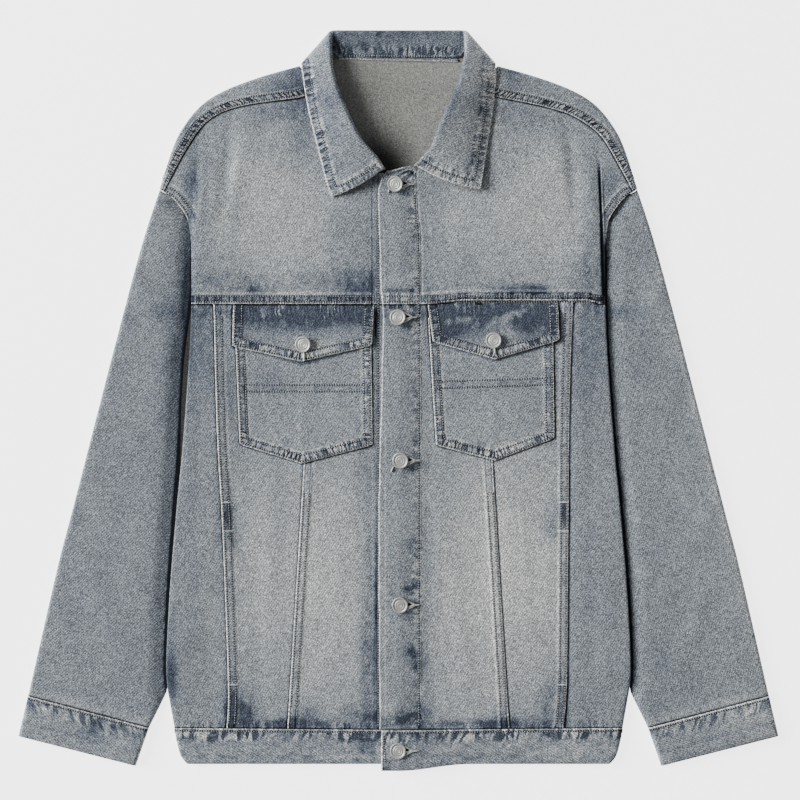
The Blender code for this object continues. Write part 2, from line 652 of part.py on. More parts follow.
def collar():
    """The collar's leaf and the stand that joins it to the neck seam."""
    stations = collar_stations()
    rows = [("roll", angle) for angle in (-90, -50, -10, 30, 60, 90)]
    rows += [("leaf", share) for share in (0.25, 0.5, 0.75, 1)]

    def leaf_point(station, row):
        sign, numbers = station
        middle, edge, fall, face = collar_frame(numbers)
        kind, value = row
        if kind == "roll":
            angle = math.radians(value)
            at = middle - fall * ROLL_RADIUS * math.cos(angle) + face * ROLL_RADIUS * math.sin(angle)
        else:
            at = (middle + face * ROLL_RADIUS).lerp(edge, value)
            at.y -= numbers[7] * math.sin(math.pi * value)
        return sign * at.x, at.y, at.z

    def stand_point(station, share):
        sign, numbers = station
        middle, _edge, fall, face = collar_frame(numbers)
        top = middle - face * (ROLL_RADIUS - SEAM) + fall * 4 * SEAM
        reach = 1 - 0.16 * math.cos(math.radians(numbers[6]))
        at = Vector(numbers[8:11]).lerp(top, share * reach)
        return sign * at.x, at.y, at.z

    sheet("collar", stations, rows, leaf_point, wall=DOUBLE, even=False)
    sheet("collar_stand", stations, (0, 0.5, 1), stand_point, look=DARK, even=False)


# ---- Buttons ----

def button(name, x, y, z):
    """A turned shank button standing on the cloth."""
    data = bpy.data.meshes.new(name)
    points = [(radius * MM, 0, height * MM) for radius, height in BUTTON_PROFILE]
    data.from_pydata(points, [(i, i + 1) for i in range(len(points) - 1)], [])
    piece = finish(bpy.data.objects.new(name, data), METAL)
    piece.location = Vector((x, y, z)) * MM
    lathe = piece.modifiers.new("turned", "SCREW")
    lathe.steps = lathe.render_steps = BUTTON_STEPS
    lathe.use_merge_vertices = True
    lathe.merge_threshold = 0.00005


def buttons():
    for number, (x, y) in enumerate(FRONT_BUTTONS, start=1):
        base = PLACKET_TOP if y > HEM_Y else WAIST_LAP_TOP
        button(f"button_{number}", x, y, base + BUTTON_GAP)
    for side, (x, y) in POCKET_BUTTONS.items():
        button(f"pocket_button_{side}", x, y, front_top(x, y) + FLAP_HEIGHT + BUTTON_GAP)


for old in list(bpy.data.objects):
    bpy.data.objects.remove(old)
jacket = bpy.data.collections.new("denim_jacket")
bpy.context.scene.collection.children.link(jacket)

body()
opening_strips()
waistband()
pockets()
sleeves()
collar()
buttons()
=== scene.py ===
"""Dresses a laid denim trucker jacket in washed cloth, stitching, buttonholes and buttons.

Tables are in millimetres, as a pattern cutter's are: +X to the wearer's left, +Y to the collar,
+Z up out of the front. Cloth pieces are grids of points that follow the solids' own lines, with
finer laps, puckers and creases, and each carries marks in its points for its washed finish and
its painted shade: fade (0 deep blue, 1 washed out, lowered for painted shade and raised for
painted light in places), blotch (how patchy), edge and cover (mm from a stitched edge and from a
covering one, beside which painted contact shade is laid), run (mm along that edge) and pull
(how strongly it puckers).
"""

import math

import bpy
import numpy as np
from mathutils import Euler, Matrix, Vector
from mathutils.bvhtree import BVHTree


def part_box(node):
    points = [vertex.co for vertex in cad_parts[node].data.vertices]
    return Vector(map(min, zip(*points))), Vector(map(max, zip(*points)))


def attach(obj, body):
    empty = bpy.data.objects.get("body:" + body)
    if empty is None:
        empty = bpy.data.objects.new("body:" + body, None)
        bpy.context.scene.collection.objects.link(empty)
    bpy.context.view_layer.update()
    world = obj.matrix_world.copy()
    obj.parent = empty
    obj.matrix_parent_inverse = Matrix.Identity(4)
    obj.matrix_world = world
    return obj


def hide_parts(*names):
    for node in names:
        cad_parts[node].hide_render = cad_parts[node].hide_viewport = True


bl_info = {
    "name": "Denim Jacket",
    "version": (1, 0, 0),
    "blender": (4, 5, 0),
    "location": "View3D > Sidebar > Jacket",
    "description": "Dresses the laid jacket in washed cloth, stitching and buttons",
    "category": "Object",
}

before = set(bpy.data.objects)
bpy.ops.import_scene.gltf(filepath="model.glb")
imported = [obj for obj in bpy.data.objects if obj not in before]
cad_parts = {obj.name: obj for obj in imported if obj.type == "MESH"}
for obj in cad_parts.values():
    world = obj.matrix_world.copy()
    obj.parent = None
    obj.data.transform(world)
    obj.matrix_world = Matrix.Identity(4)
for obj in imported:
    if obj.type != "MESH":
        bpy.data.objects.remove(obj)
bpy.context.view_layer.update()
MM = 0.001
SIDES = {"left": 1, "right": -1}

# Cloth and heights, mm
CLOTH = 0.9  # one layer
DOUBLE = 2.2  # two layers with their turnings
BAND = 0.6  # how far a lapped, twice stitched edge stands up
BAND_WIDTH = 8.6
ROWS = (2.0, 7.6)  # the double topstitching, from its edge
DIP = 0.6  # how far the piece under a lap lies down
FRONT_TOP = 6.2
SLEEVE_TOP = 6.2
SLEEVE_UNDER = 5.0
EDGE_UNDER = 5.4
SIDE_RISE = 2.1
SHOULDER_TOP = 6.3
WAIST_TOP = 6.9
WAIST_LAP_TOP = 9.1
STAND_TOP = 6.5
PLACKET_TOP = 8.9
PLACKET_EDGE_TOP = 6.9
CUFF_TOP = 7.4
NECK_RAISE = 3.2
POUCH_TOP = 1.25  # above the front
FLAP_TOP = 3.4
ROLL_RADIUS = 3.4

# Seam levels, mm
CHEST_Y = 96.0
YOKE_BACK_Y = 150.0
HEM_Y = -328.0
HEM_SAG = 2.0
WAIST_BOTTOM_Y = -364.0
FRONT_DROOP = 6.5
HIDDEN = 5.0  # how far a piece runs on under its neighbour's lap
UNDER = (-HIDDEN - 1, -3, -1.2, -0.3)  # columns of points there, from the lap's edge
CLEAR = 99.0  # stands for a point that has no such edge near
BACK_INSET = 1.2  # how far the back keeps inside the sleeves' ends
OPENING_LIFT = {"left": 0.5, "right": -0.3}  # of the fronts, where they meet the placket and the stand

# Outlines: x from the middle line, y; in mm.
SHOULDER = ((99.3, 334.6), (137, 324), (172, 311), (196, 296.5), (213, 277), (225.5, 254), (239.3, 211.3))
SHOULDER_SEAM = {
    "left": ((79.5, 309.5), (98, 303), (121, 298.5), (150, 292), (175, 283.5), (200, 266), (216, 242),
             (234.5, 208)),
    "right": ((79.5, 309.5), (98, 302.5), (121, 299.2), (150, 295), (175, 288), (195, 274.5), (214, 247),
              (234.5, 208)),
}
ARMHOLE = ((234.5, 208), (226, 202), (217.5, 192), (211.5, 182), (208.8, 171), (207.4, 158),
           (207, 134), (207, 96))
SLEEVE_END = ((239, 211), (226, 202), (217.5, 192), (211.5, 182), (205, 172.5), (197, 156),
              (188, 133), (179, 110))
BODY_EDGE = ((203, 250), (206, 182), (207, 134), (207, 96), (209, 47), (213, -10), (217, -60),
             (221.5, -105), (228, -182), (232, -254), (231.5, -285), (229, -303), (224.5, -328))
SLEEVE_OUTER = ((239, 211), (256, 159), (279, 74), (324, -100), (340, -161), (358, -239), (371, -296))
SLEEVE_INNER = ((179, 110), (187, 0), (203, -130), (214, -210), (222, -243), (229.5, -272), (232, -290),
                (235, -298), (249.7, -328))
CUFF_EDGE = ((380.5, -336), (262.8, -366))
V_SEAM = ((85.5, 96), (94.5, -62), (111, -328))
SIDE_SEAM = {
    "left": ((174.5, 96), (171.2, 0), (170, -130), (168.8, -276), (165, -328)),
    "right": ((184.8, 96), (181.5, -30), (176, -131), (170.5, -284), (172, -328)),
}
NECK_SEAM = ((22.6, 228), (33, 243), (46, 262), (58, 282), (69, 300), (79.5, 309.5))
YOKE_NECK = ((96, 329), (88, 325.5), (81, 329), (74, 338), (62, 342), (0, 342))
PLACKET_LEFT = ((-20.5, 211), (-18, 120), (-15.7, 83), (-17.2, 0), (-19.9, -115), (-18.9, -330))
PLACKET_RIGHT = ((17.5, 229), (20, 181), (22.9, 120), (23.5, -330))
PLACKET_CORNER = ((211, -20.5), (222, -17), (229, -11.5))  # y, x of its rounded top
STAND_EDGE = -25.8
WAIST_HALF = ((224.5, -328), (222.6, -340), (218.2, -356), (212, -364))

# Pocket corners, signed x, y: outer top, outer foot, tip, inner foot, inner top.
FLAP_CORNERS = {
    "left": ((159.2, 101), (160.7, 59.5), (96.4, 40.4), (34.4, 58), (28.4, 101)),
    "right": ((-164.9, 98), (-165.7, 53.4), (-96.8, 38.1), (-26.4, 54.2), (-24.1, 98)),
}
POUCH_CORNERS = {
    "left": ((154.3, 82), (156.1, -38.4), (96.4, -60.6), (37.5, -45.3), (29.5, 82)),
    "right": ((-163.8, 82), (-158.8, -44.5), (-96.8, -63.7), (-25.6, -45.3), (-27.5, 82)),
}

# Collar stations. Columns: roll x, y, z; outer edge x, y, z; the way the fold faces in degrees
# (90 up, 0 outwards, -90 down); how far the leaf bows; neck seam x, y, z.
COLLAR_BACK = (
    (65.8, 346.0, 13.5, 97.0, 332.5, 9.9, 65, 0.0, 74.0, 334.0, 7.4),
    (65.8, 359.0, 10.0, 97.2, 336.0, 8.2, 35, 0.0, 70.5, 347.0, 6.3),
    (65.5, 367.5, 5.5, 96.0, 337.5, 5.0, 0, 0.0, 68.5, 352.0, 5.2),
    (62.0, 370.2, 3.9, 91.5, 334.0, 1.0, -50, 0.0, 62.5, 344.5, 4.9),
    (54.0, 370.3, 3.4, 84.0, 327.5, 0.0, -90, 0.0, 54.0, 342.6, 4.4),
    (30.0, 370.3, 3.4, 50.0, 325.0, 0.0, -90, 0.0, 30.0, 342.6, 4.4),
    (0.0, 370.3, 3.4, 0.0, 325.0, 0.0, -90, 0.0, 0.0, 342.6, 4.4),
)
COLLAR_FRONT = {
    "left": (
        (14.7, 233.5, 12.5, 82.5, 209.8, 9.8, 90, 4.0, 22.5, 230.0, 6.9),
        (24.0, 243.0, 14.0, 84.0, 222.0, 9.7, 90, 2.0, 31.0, 241.0, 6.9),
        (32.5, 253.0, 16.0, 86.5, 237.0, 9.4, 90, 0.5, 42.0, 257.0, 6.9),
        (38.5, 269.0, 17.5, 89.5, 257.0, 8.8, 90, 0.0, 51.0, 272.0, 6.9),
        (48.5, 292.0, 18.0, 93.8, 284.0, 8.8, 90, 0.0, 63.5, 293.0, 6.9),
        (57.5, 312.0, 17.5, 96.0, 303.0, 8.9, 90, 0.0, 73.0, 306.0, 7.2),
        (62.5, 331.0, 16.0, 97.3, 321.0, 9.3, 85, 0.0, 78.0, 319.0, 7.6),
    ),
    "right": (
        (13.0, 230.5, 12.5, 66.5, 202.8, 8.2, 90, 3.0, 22.5, 230.0, 6.9),
        (20.5, 242.0, 14.0, 71.5, 216.0, 8.4, 90, 1.5, 31.0, 241.0, 6.9),
        (33.0, 256.0, 16.0, 76.0, 232.0, 8.7, 90, 0.5, 42.0, 257.0, 6.9),
        (43.5, 273.0, 17.5, 82.0, 256.0, 9.3, 90, 0.0, 53.5, 275.0, 6.9),
        (54.0, 297.0, 18.0, 89.0, 284.0, 9.3, 90, 0.0, 65.5, 296.0, 6.9),
        (60.3, 312.7, 17.5, 92.7, 303.0, 9.6, 90, 0.0, 74.0, 307.5, 7.2),
        (65.0, 331.0, 16.0, 95.5, 321.0, 10.0, 85, 0.0, 78.5, 319.0, 7.6),
    ),
}

# Soft folds and creases. Columns: x, y, run in degrees, half length, half width, height.
FOLDS = (
    (-262, 118, -62, 60, 9, 0.9), (-286, 20, -70, 70, 11, 0.7), (-318, -110, -58, 60, 10, -0.7),
    (-296, -205, -68, 70, 12, 0.8), (262, 112, 64, 55, 9, 0.8), (290, 6, 72, 75, 11, -0.7),
    (322, -96, 60, 60, 10, 0.8), (300, -214, 70, 60, 11, 0.7), (-140, 228, -38, 50, 12, 0.6),
    (128, 204, 40, 55, 12, 0.6), (-62, -190, 84, 90, 9, 0.6), (62, -232, -82, 80, 9, 0.6),
    (140, -150, 86, 90, 9, -0.5), (-142, -220, -86, 80, 9, -0.5),
)
CREASES = (
    (-203, 216, 88, 34, 4.0, -1.0), (-196, 205, 86, 40, 3, 0.4), (-172, 226, 84, 48, 7, -1.5),
    (-161, 232, 82, 44, 7, 0.8), (-150, 250, 80, 40, 9, 0.5), (-206, 150, 90, 40, 3, -0.5),
    (199, 214, 92, 36, 4, -0.7), (174, 226, 95, 46, 6, -1.1), (164, 232, 96, 40, 7, 0.6),
    (155, 246, 98, 40, 9, 0.5), (-210.5, 212, 90, 27, 1.5, 1.1), (-214.5, 205, 96, 24, 2.4, -1.2),
    (192, -60, 88, 60, 5, -0.4), (196, -210, 91, 70, 6, -0.5), (-200, -40, 90, 70, 6, -0.4),
    (-186, -230, 88, 60, 6, -0.4), (40, -150, 88, 80, 5, 0.35), (128, -180, 92, 90, 6, 0.35),
    (-128, -160, 88, 80, 6, 0.35), (-45, -120, 90, 70, 5, 0.35), (-168, -142, -58, 9, 2, 0.8),
    (-160, -148, -50, 8, 2, -0.6), (60, 150, 92, 40, 8, 0.4), (-70, 150, 88, 40, 8, 0.4),
    (94, -30, 90, 34, 5, 0.4), (-97, -30, 88, 34, 5, 0.45),
)

# Crinkles of the placket by its top button, in the same columns
PLACKET_FOLDS = (
    (1, 230.5, 13, 11, 0.8, 0.9), (2, 229.0, 17, 10, 0.7, -0.9), (3, 227.4, 22, 9, 0.8, 0.8),
    (4.5, 225.8, 27, 8, 0.7, -0.8), (6, 224.2, 33, 7, 0.8, 0.8), (11, 223.0, 48, 8, 0.8, -0.7),
    (13, 221.5, 55, 7, 0.8, 0.6), (14, 200, 35, 8, 1.2, -0.5), (12, 196, 30, 7, 1.2, 0.4),
)


# ---- Lines and surfaces, over whole arrays of points ----

def smoothstep(low, high, value):
    """0 up to low, rising smoothly to 1 at high."""
    share = np.clip((np.asarray(value, float) - low) / (high - low), 0, 1)
    return share * share * (3 - 2 * share)


def falling(low, high, value):
    """1 up to low, falling smoothly to 0 at high."""
    return 1 - smoothstep(low, high, value)


def hump(value, middle, width):
    """1 at the middle, falling away on both sides of it."""
    return np.exp(-((value - middle) / width) ** 2)


def spaced(start, end, step):
    """Evenly spaced numbers, about a step apart, with both ends."""
    return np.linspace(start, end, max(2, round(abs(end - start) / step) + 1))


def smooth(table, steps=8):
    """Points of a smooth curve that runs through a table's rows."""
    points = np.array([table[0], *table, table[-1]], float)
    t = np.linspace(0, 1, steps, endpoint=False)[:, None]
    parts = [0.5 * (2 * b + (c - a) * t + (2 * a - 5 * b + 4 * c - d) * t ** 2
                    + (3 * b - a - 3 * c + d) * t ** 3)
             for a, b, c, d in zip(points, points[1:], points[2:], points[3:])]
    return np.vstack([*parts, points[-1:]])


def reach_of(line):
    """Length along a line up to each of its points."""
    return np.concatenate([[0.0], np.cumsum(np.linalg.norm(np.diff(line, axis=0), axis=1))])


def along(line, share):
    """The points at shares of a line's length."""
    reach = reach_of(line)
    at = np.clip(share, 0, 1) * reach[-1]
    return np.stack([np.interp(at, reach, line[:, axis]) for axis in range(line.shape[1])], -1)


def sideways(line):
    """The way to the left of a line's run, at each of its points."""
    slope = np.gradient(line, axis=0)
    return np.stack([-slope[:, 1], slope[:, 0]], -1) / np.linalg.norm(slope, axis=1)[:, None]


def x_at(line, y):
    """Where a line that runs down the garment passes a height."""
    return np.interp(y, line[::-1, 1], line[::-1, 0])


def from_line(line, x, y):
    """Distance from a line, and how far along it the nearest point is."""
    points = np.stack([np.ravel(x), np.ravel(y)], -1)
    starts, steps = line[:-1, :2], np.diff(line[:, :2], axis=0)
    squares = np.maximum((steps ** 2).sum(1), 1e-9)
    reach = reach_of(line[:, :2])
    best, run = np.full(len(points), 1e9), np.zeros(len(points))
    for start, step, square, before in zip(starts, steps, squares, reach):
        share = np.clip(((points - start) @ step) / square, 0, 1)
        away = np.linalg.norm(points - start - share[:, None] * step, axis=1)
        nearer = away < best
        best[nearer], run[nearer] = away[nearer], (before + share * math.sqrt(square))[nearer]
    return best.reshape(np.shape(x)), run.reshape(np.shape(x))


def ripple(run, seed=0.0):
    """Uneven waves of puckered cloth, about 7 mm apart, from -1 to 1."""
    main = np.sin(run * 0.9 + 3.2 * np.sin(run / 17 + seed) + seed)
    fine = np.sin(run * 2.1 + 2.6 * np.sin(run / 11 + 2 * seed))
    strength = 0.7 + 0.3 * np.sin(run / 19 + 3 * seed)
    return strength * (0.7 * main + 0.3 * fine)


def curl(share):
    """A quarter round from 0 at an edge to 1."""
    return np.sqrt(1 - (1 - np.clip(share, 0, 1)) ** 2)


def grid_of(x, y, z):
    """A grid of points from their three measures."""
    return np.stack(np.broadcast_arrays(x, y, z), -1)


def bumps(table, x, y):
    """Height that a table of folds adds at each point."""
    height = np.zeros(np.broadcast(x, y).shape)
    for fold_x, fold_y, run, length, width, tall in table:
        cos, sin = math.cos(math.radians(run)), math.sin(math.radians(run))
        on = ((x - fold_x) * cos + (y - fold_y) * sin) / length
        off = ((y - fold_y) * cos - (x - fold_x) * sin) / width
        height = height + tall * np.exp(-on * on - off * off)
    return height


shoulder = smooth(SHOULDER)
shoulder_seam = {side: smooth(table) for side, table in SHOULDER_SEAM.items()}
armhole, sleeve_end, body_edge = smooth(ARMHOLE), smooth(SLEEVE_END), smooth(BODY_EDGE)
sleeve_outer, sleeve_inner = smooth(SLEEVE_OUTER), smooth(SLEEVE_INNER)
v_seam, neck_seam, yoke_neck = smooth(V_SEAM), smooth(NECK_SEAM), smooth(YOKE_NECK)
side_seam = {side: smooth(table) for side, table in SIDE_SEAM.items()}
placket_left, placket_right = smooth(PLACKET_LEFT), smooth(PLACKET_RIGHT)
waist_half = smooth(WAIST_HALF)
sleeve_edge = np.vstack([sleeve_end[:-1], sleeve_inner])


def ramp_line(y):
    """Where the body's side has come up on to the sleeve."""
    return np.minimum(x_at(sleeve_edge, y), x_at(body_edge, y) - 6)


def front_top(x, y):
    """Height of the front's outer face."""
    up = smoothstep(-300, -270, y) * falling(186, 250, y)
    up = up * smoothstep(-45, -2, np.abs(x) - ramp_line(y))
    return FRONT_TOP + SIDE_RISE * up + bumps(FOLDS, x, y) + bumps(CREASES, x, y)


def hem(x):
    """Height of the waistband's seam, which sags a little to the middle."""
    return HEM_Y - HEM_SAG * (1 - np.minimum(1.0, np.abs(x) / WAIST_HALF[0][0]))


def chest(x):
    """Height of the chest seam, which lies a little higher on the wearer's left."""
    return CHEST_Y + 3.4 * smoothstep(25, 70, x) * falling(188, 204, x)


def opening(side, y):
    """Where the front's panels end at the placket, from the middle line."""
    return x_at(placket_right, y) + 0.2 if side == "left" else np.full(np.shape(y), -0.4 - STAND_EDGE)


def edge_drop(drop, away, rounding=1.2):
    """How far a turned edge's face drops, by the distance in from the edge."""
    return drop * (1 - curl(away / rounding))


def in_lap(to_lap):
    """1 on a lapped edge's stitched band and 0 beyond it."""
    return falling(BAND_WIDTH - 2, BAND_WIDTH + 1, to_lap)


def lap_rise(to_lap):
    """Height of a lapped edge's stitched band."""
    return BAND * falling(BAND_WIDTH, BAND_WIDTH + 2, to_lap)


def tucked(past):
    """How far a piece lies down under a lap, by the distance out from the lap's edge."""
    return DIP * falling(-0.8, 1.0, past)


def from_covers(beside, x, y):
    """Distance from the nearest covering edge: a neighbour's, the yoke's or the waistband's."""
    return np.minimum(np.minimum(beside, chest(x) - y), (y - hem(x)) + 0.1)


# ---- Wash and painted shade: where the blue is worn away or left, and where light or shade is painted ----

# Soft spots of wash, and of painted shade and light: shadows beside the sleeves, in folds, by the pocket
# openings and under the collar. Columns: x, y, half width, half height, change of fade, then blotch and run
# in degrees if not 0.
WASH_AND_SHADE = (
    # collar and shoulders
    (-8, 370, 60, 8, -0.14, 0.1), (-66, 357, 6, 12, -0.3), (-40, 354, 20, 5, -0.08, 0.15),
    (-98, 330, 12, 10, -0.1), (113, 322, 10, 14, -0.25, 0.1), (-98, 320, 12, 12, -0.14),
    (-122, 312, 16, 8, -0.2, 0.1), (-100, 312, 22, 24, -0.2), (92, 312, 9, 34, 0.2),
    (55, 304, 45, 6, -0.2, 0.05, 70), (97, 300, 9, 36, 0.14), (-100, 292, 60, 12, -0.16, 0.1, 10),
    (111, 290, 10, 10, 0.06), (110, 288, 60, 14, -0.14, 0.08, -12), (-208, 268, 10, 14, -0.2, 0.1),
    (-68, 268, 10, 18, -0.16), (-94, 262, 18, 30, -0.18),
    # yokes
    (-68, 232, 12, 14, -0.3, 0.1), (74, 232, 10, 12, -0.3, 0.1), (-208, 218, 9, 22, -0.18),
    (212, 218, 8, 16, -0.2), (-196, 200, 16, 60, -0.08), (-182, 190, 9, 50, 0.12),
    (-115, 190, 75, 70, 0.17), (62, 190, 22, 40, 0.08), (140, 190, 62, 70, 0.18),
    (196, 190, 12, 70, -0.1), (-208, 180, 8, 110, -0.1), (-66, 170, 14, 30, -0.08),
    (-40, 170, 22, 60, -0.1), (190, 130, 20, 40, -0.1, 0.1), (-60, 120, 45, 12, -0.2, 0.12),
    (-160, 118, 50, 10, -0.08, 0.2), (-52, 118, 12, 8, 0.1), (-29, 118, 6, 13, -0.2, 0.1),
    (-48, 114, 14, 16, -0.14, 0.05), (31, 112, 10, 10, -0.14, 0.1), (116, 112, 32, 6, -0.2, 0.1),
    (-140, 110, 18, 7, -0.2, 0.12), (-38, 110, 16, 7, -0.22, 0.12), (141, 110, 14, 6, -0.16, 0.1),
    (128, 109, 26, 5, -0.22, 0.08),
    # placket and button stand
    (-20, 233, 10, 8, 0.22), (-9, 212, 5, 8, -0.15), (7.5, 206, 7, 2.5, -0.3, 0.2),
    (-1, 120, 17, 6, 0.12), (6, 87, 18, 5, 0.1, 0.1), (10, 72, 7, 3, -0.3, 0.2),
    (13, -70, 7, 3, -0.3, 0.2), (13, -150, 8, 10, -0.18, 0.15), (-21.6, -180, 1.8, 62, -0.5),
    (12, -188, 8, 3, -0.3, 0.2), (12, -195, 8, 10, -0.22, 0.15), (8, -216, 7, 3, -0.25, 0.2),
    (12, -252, 8, 10, -0.25, 0.2), (-23, -255, 4, 66, -0.3, 0.05), (20, -262, 9, 14, -0.25, 0.1),
    # flaps, and the fronts beside them
    (-211, 95, 5.5, 60, -0.35), (-138, 90, 16, 8, -0.16), (-48, 90, 10, 9, -0.25),
    (0, 88, 230, 9, -0.22, 0.15), (180, 88, 14, 8, 0.12), (112, 84, 24, 5, 0.2, 0.1, 28),
    (104, 82, 36, 5, 0.12, 0, 18), (60, 80, 18, 3.8, 0.28, 0.1, 6), (150, 74, 12, 14, -0.1),
    (132, 73, 14, 6, -0.16, 0.1, 20), (-98, 72, 42, 9, -0.16), (42, 72, 14, 14, -0.2, 0.05),
    (62, 72, 14, 10, -0.12, 0.05), (82, 72, 14, 9, -0.22), (155, 72, 8, 10, -0.16),
    (56, 70, 16, 7, -0.14, 0.1, -10), (131, 70, 9, 12, -0.16, 0.05), (171, 70, 8, 14, 0.1),
    (50, 68, 12, 5, -0.2, 0.1, -10), (146, 66, 12, 6, -0.12, 0.1), (-190, 60, 24, 60, -0.16, 0.05),
    (190, 60, 24, 60, -0.12, 0.05), (-88, 50, 26, 7, 0.12), (-80, 50, 14, 7, 0.1), (-78, 50, 14, 7, 0.16),
    (92, 50, 24, 7, 0.12), (112, 50, 10, 7, 0.16), (-88, 48, 8, 8, 0.15), (-227, 40, 14, 70, -0.12),
    # pouches and lower fronts
    (-128, 20, 16, 16, -0.12), (-168, 0, 5, 40, -0.15), (-30, -30, 8, 25, 0.12),
    (-108, -46, 12, 7, -0.1, 0.15, 10), (84, -49, 13, 8, -0.14, 0.2, -12), (-60, -52, 20, 6, 0.1),
    (115, -52, 20, 8, 0.12), (-30, -60, 12, 40, -0.1, 0.1), (206, -100, 12, 90, 0.05),
    (-172, -112, 6, 14, -0.34, 0.2), (152, -112, 9, 22, -0.12), (164, -112, 5, 14, -0.36, 0.1),
    (-169, -117, 4.5, 14, -0.3), (168, -117, 4.5, 14, -0.25), (92, -130, 26, 100, 0.08),
    (151, -130, 10, 14, -0.2, 0.05), (-170, -136, 10, 8, -0.2, 0.1), (130, -140, 40, 90, 0.08),
    (-202, -150, 30, 140, -0.04), (-86, -150, 10, 60, 0.08), (202, -150, 30, 140, -0.03),
    (-138, -170, 32, 100, 0.15), (-98, -170, 16, 120, 0.08), (-29, -170, 7, 60, -0.16, 0.15),
    (30, -170, 8, 35, -0.08), (102, -170, 16, 120, 0.1), (-190, -180, 12, 110, 0.08),
    (140, -180, 28, 110, 0.18), (231, -180, 10, 90, 0.1), (-187, -190, 10, 90, 0.07),
    (-62, -190, 42, 120, 0.2), (72, -200, 48, 120, 0.2), (-228, -240, 8, 50, -0.1),
    (27, -250, 6, 40, -0.08, 0.1), (-33, -265, 6, 60, -0.26, 0.2), (171, -275, 8, 44, 0.1),
    (-228, -280, 7, 30, -0.3), (165, -284, 8, 12, -0.25, 0.2), (151, -290, 8, 8, -0.15),
    (-150, -300, 12, 18, -0.12, 0.05),
    # waistband, and the cloth just above it
    (-166, -304, 9, 24, -0.34, 0.1), (150, -308, 12, 18, -0.2, 0.1), (-9, -310, 10, 8, 0.18),
    (166, -310, 5, 20, -0.28), (-160, -312, 14, 12, -0.25, 0.2), (-158, -312, 14, 10, -0.25, 0.1),
    (-88, -312, 12, 8, -0.25, 0.1), (-48, -312, 12, 8, -0.2, 0.1), (22, -312, 12, 10, -0.2, 0.15),
    (-32, -316, 10, 10, -0.14, 0.1), (10, -317, 20, 3.5, -0.35, 0.1, 20),
    (-24, -318, 12, 10, -0.12, 0.05), (2, -318, 22, 9, -0.24, 0.2), (104, -318, 12, 10, -0.18, 0.1),
    (71, -320, 12, 10, 0.1), (-104, -321, 12, 9, -0.15, 0.1), (-105, -324.5, 60, 6, -0.5, 0.24),
    (95, -324.5, 66, 6, -0.42, 0.24), (-188, -328, 9, 9, 0.12), (-128, -328, 9, 9, 0.1),
    (72, -330, 8, 5, 0.2), (92, -330, 8, 6, -0.2), (-48, -331, 10, 6, -0.2, 0.1), (111, -331, 9, 8, 0.1),
    (151, -331, 8, 6, -0.22, 0.1), (20, -332, 14, 8, -0.22, 0.1), (31, -332, 8, 8, -0.14, 0.1),
    (171, -332, 9, 10, 0.2), (-167, -334, 8, 6, -0.16, 0.1), (-30, -340, 10, 14, -0.25, 0.1),
    (165, -350, 40, 9, 0.08), (181, -350, 16, 10, 0.1),
    # sleeves and cuffs
    (-250, 155, 14, 20, 0.1), (258, 84, 10, 40, 0.12, 0, 20), (306, -42, 260, 6, 0.14, 0, -75.5),
    (320, -150, 60, 160, 0.1, 0, 20), (350, -320, 30, 20, 0.12, 0, -15),
    (-300, -328, 22, 14, -0.18, 0.1, 15),
)

# The fade that each piece starts from
BASE_FADE = {
    "front_panel": 0.56, "side_panel": 0.50, "front_yoke": 0.56, "back_panel": 0.52, "back_yoke": 0.50,
    "shoulder": 0.52, "button_stand": 0.54, "placket": 0.53, "waistband": 0.56, "pouch": 0.52, "flap": 0.40,
    "sleeve": 0.475, "cuff": 0.54, "collar": 0.49,
}


def paint(x, y, piece):
    """Fade and blotch at each point of a piece, with the table's painted shade and light."""
    shape = np.broadcast(x, y).shape
    fade, blotch = np.full(shape, BASE_FADE[piece]), np.zeros(shape)
    for spot_x, spot_y, width, height, change, *more in WASH_AND_SHADE:
        patchy, run = (*more, 0, 0)[:2]
        cos, sin = math.cos(math.radians(run)), math.sin(math.radians(run))
        on = ((x - spot_x) * cos + (y - spot_y) * sin) / width
        off = ((y - spot_y) * cos - (x - spot_x) * sin) / height
        weight = np.exp(-np.clip(on * on + off * off, 0, 40) ** 1.25)
        fade, blotch = fade + change * weight, blotch + patchy * weight
    # The creases' crests are paler and their hollows darker: partly wear, partly painted highlight and shade
    return fade + 0.03 * bumps(CREASES, x, y), blotch


# ---- Settings ----

def linear(colour):
    """An sRGB hex colour as Blender's linear colour."""
    channels = (int(colour[i:i + 2], 16) / 255 for i in (1, 3, 5))
    return (*(c / 12.92 if c <= 0.04045 else ((c + 0.055) / 1.055) ** 2.4 for c in channels), 1.0)


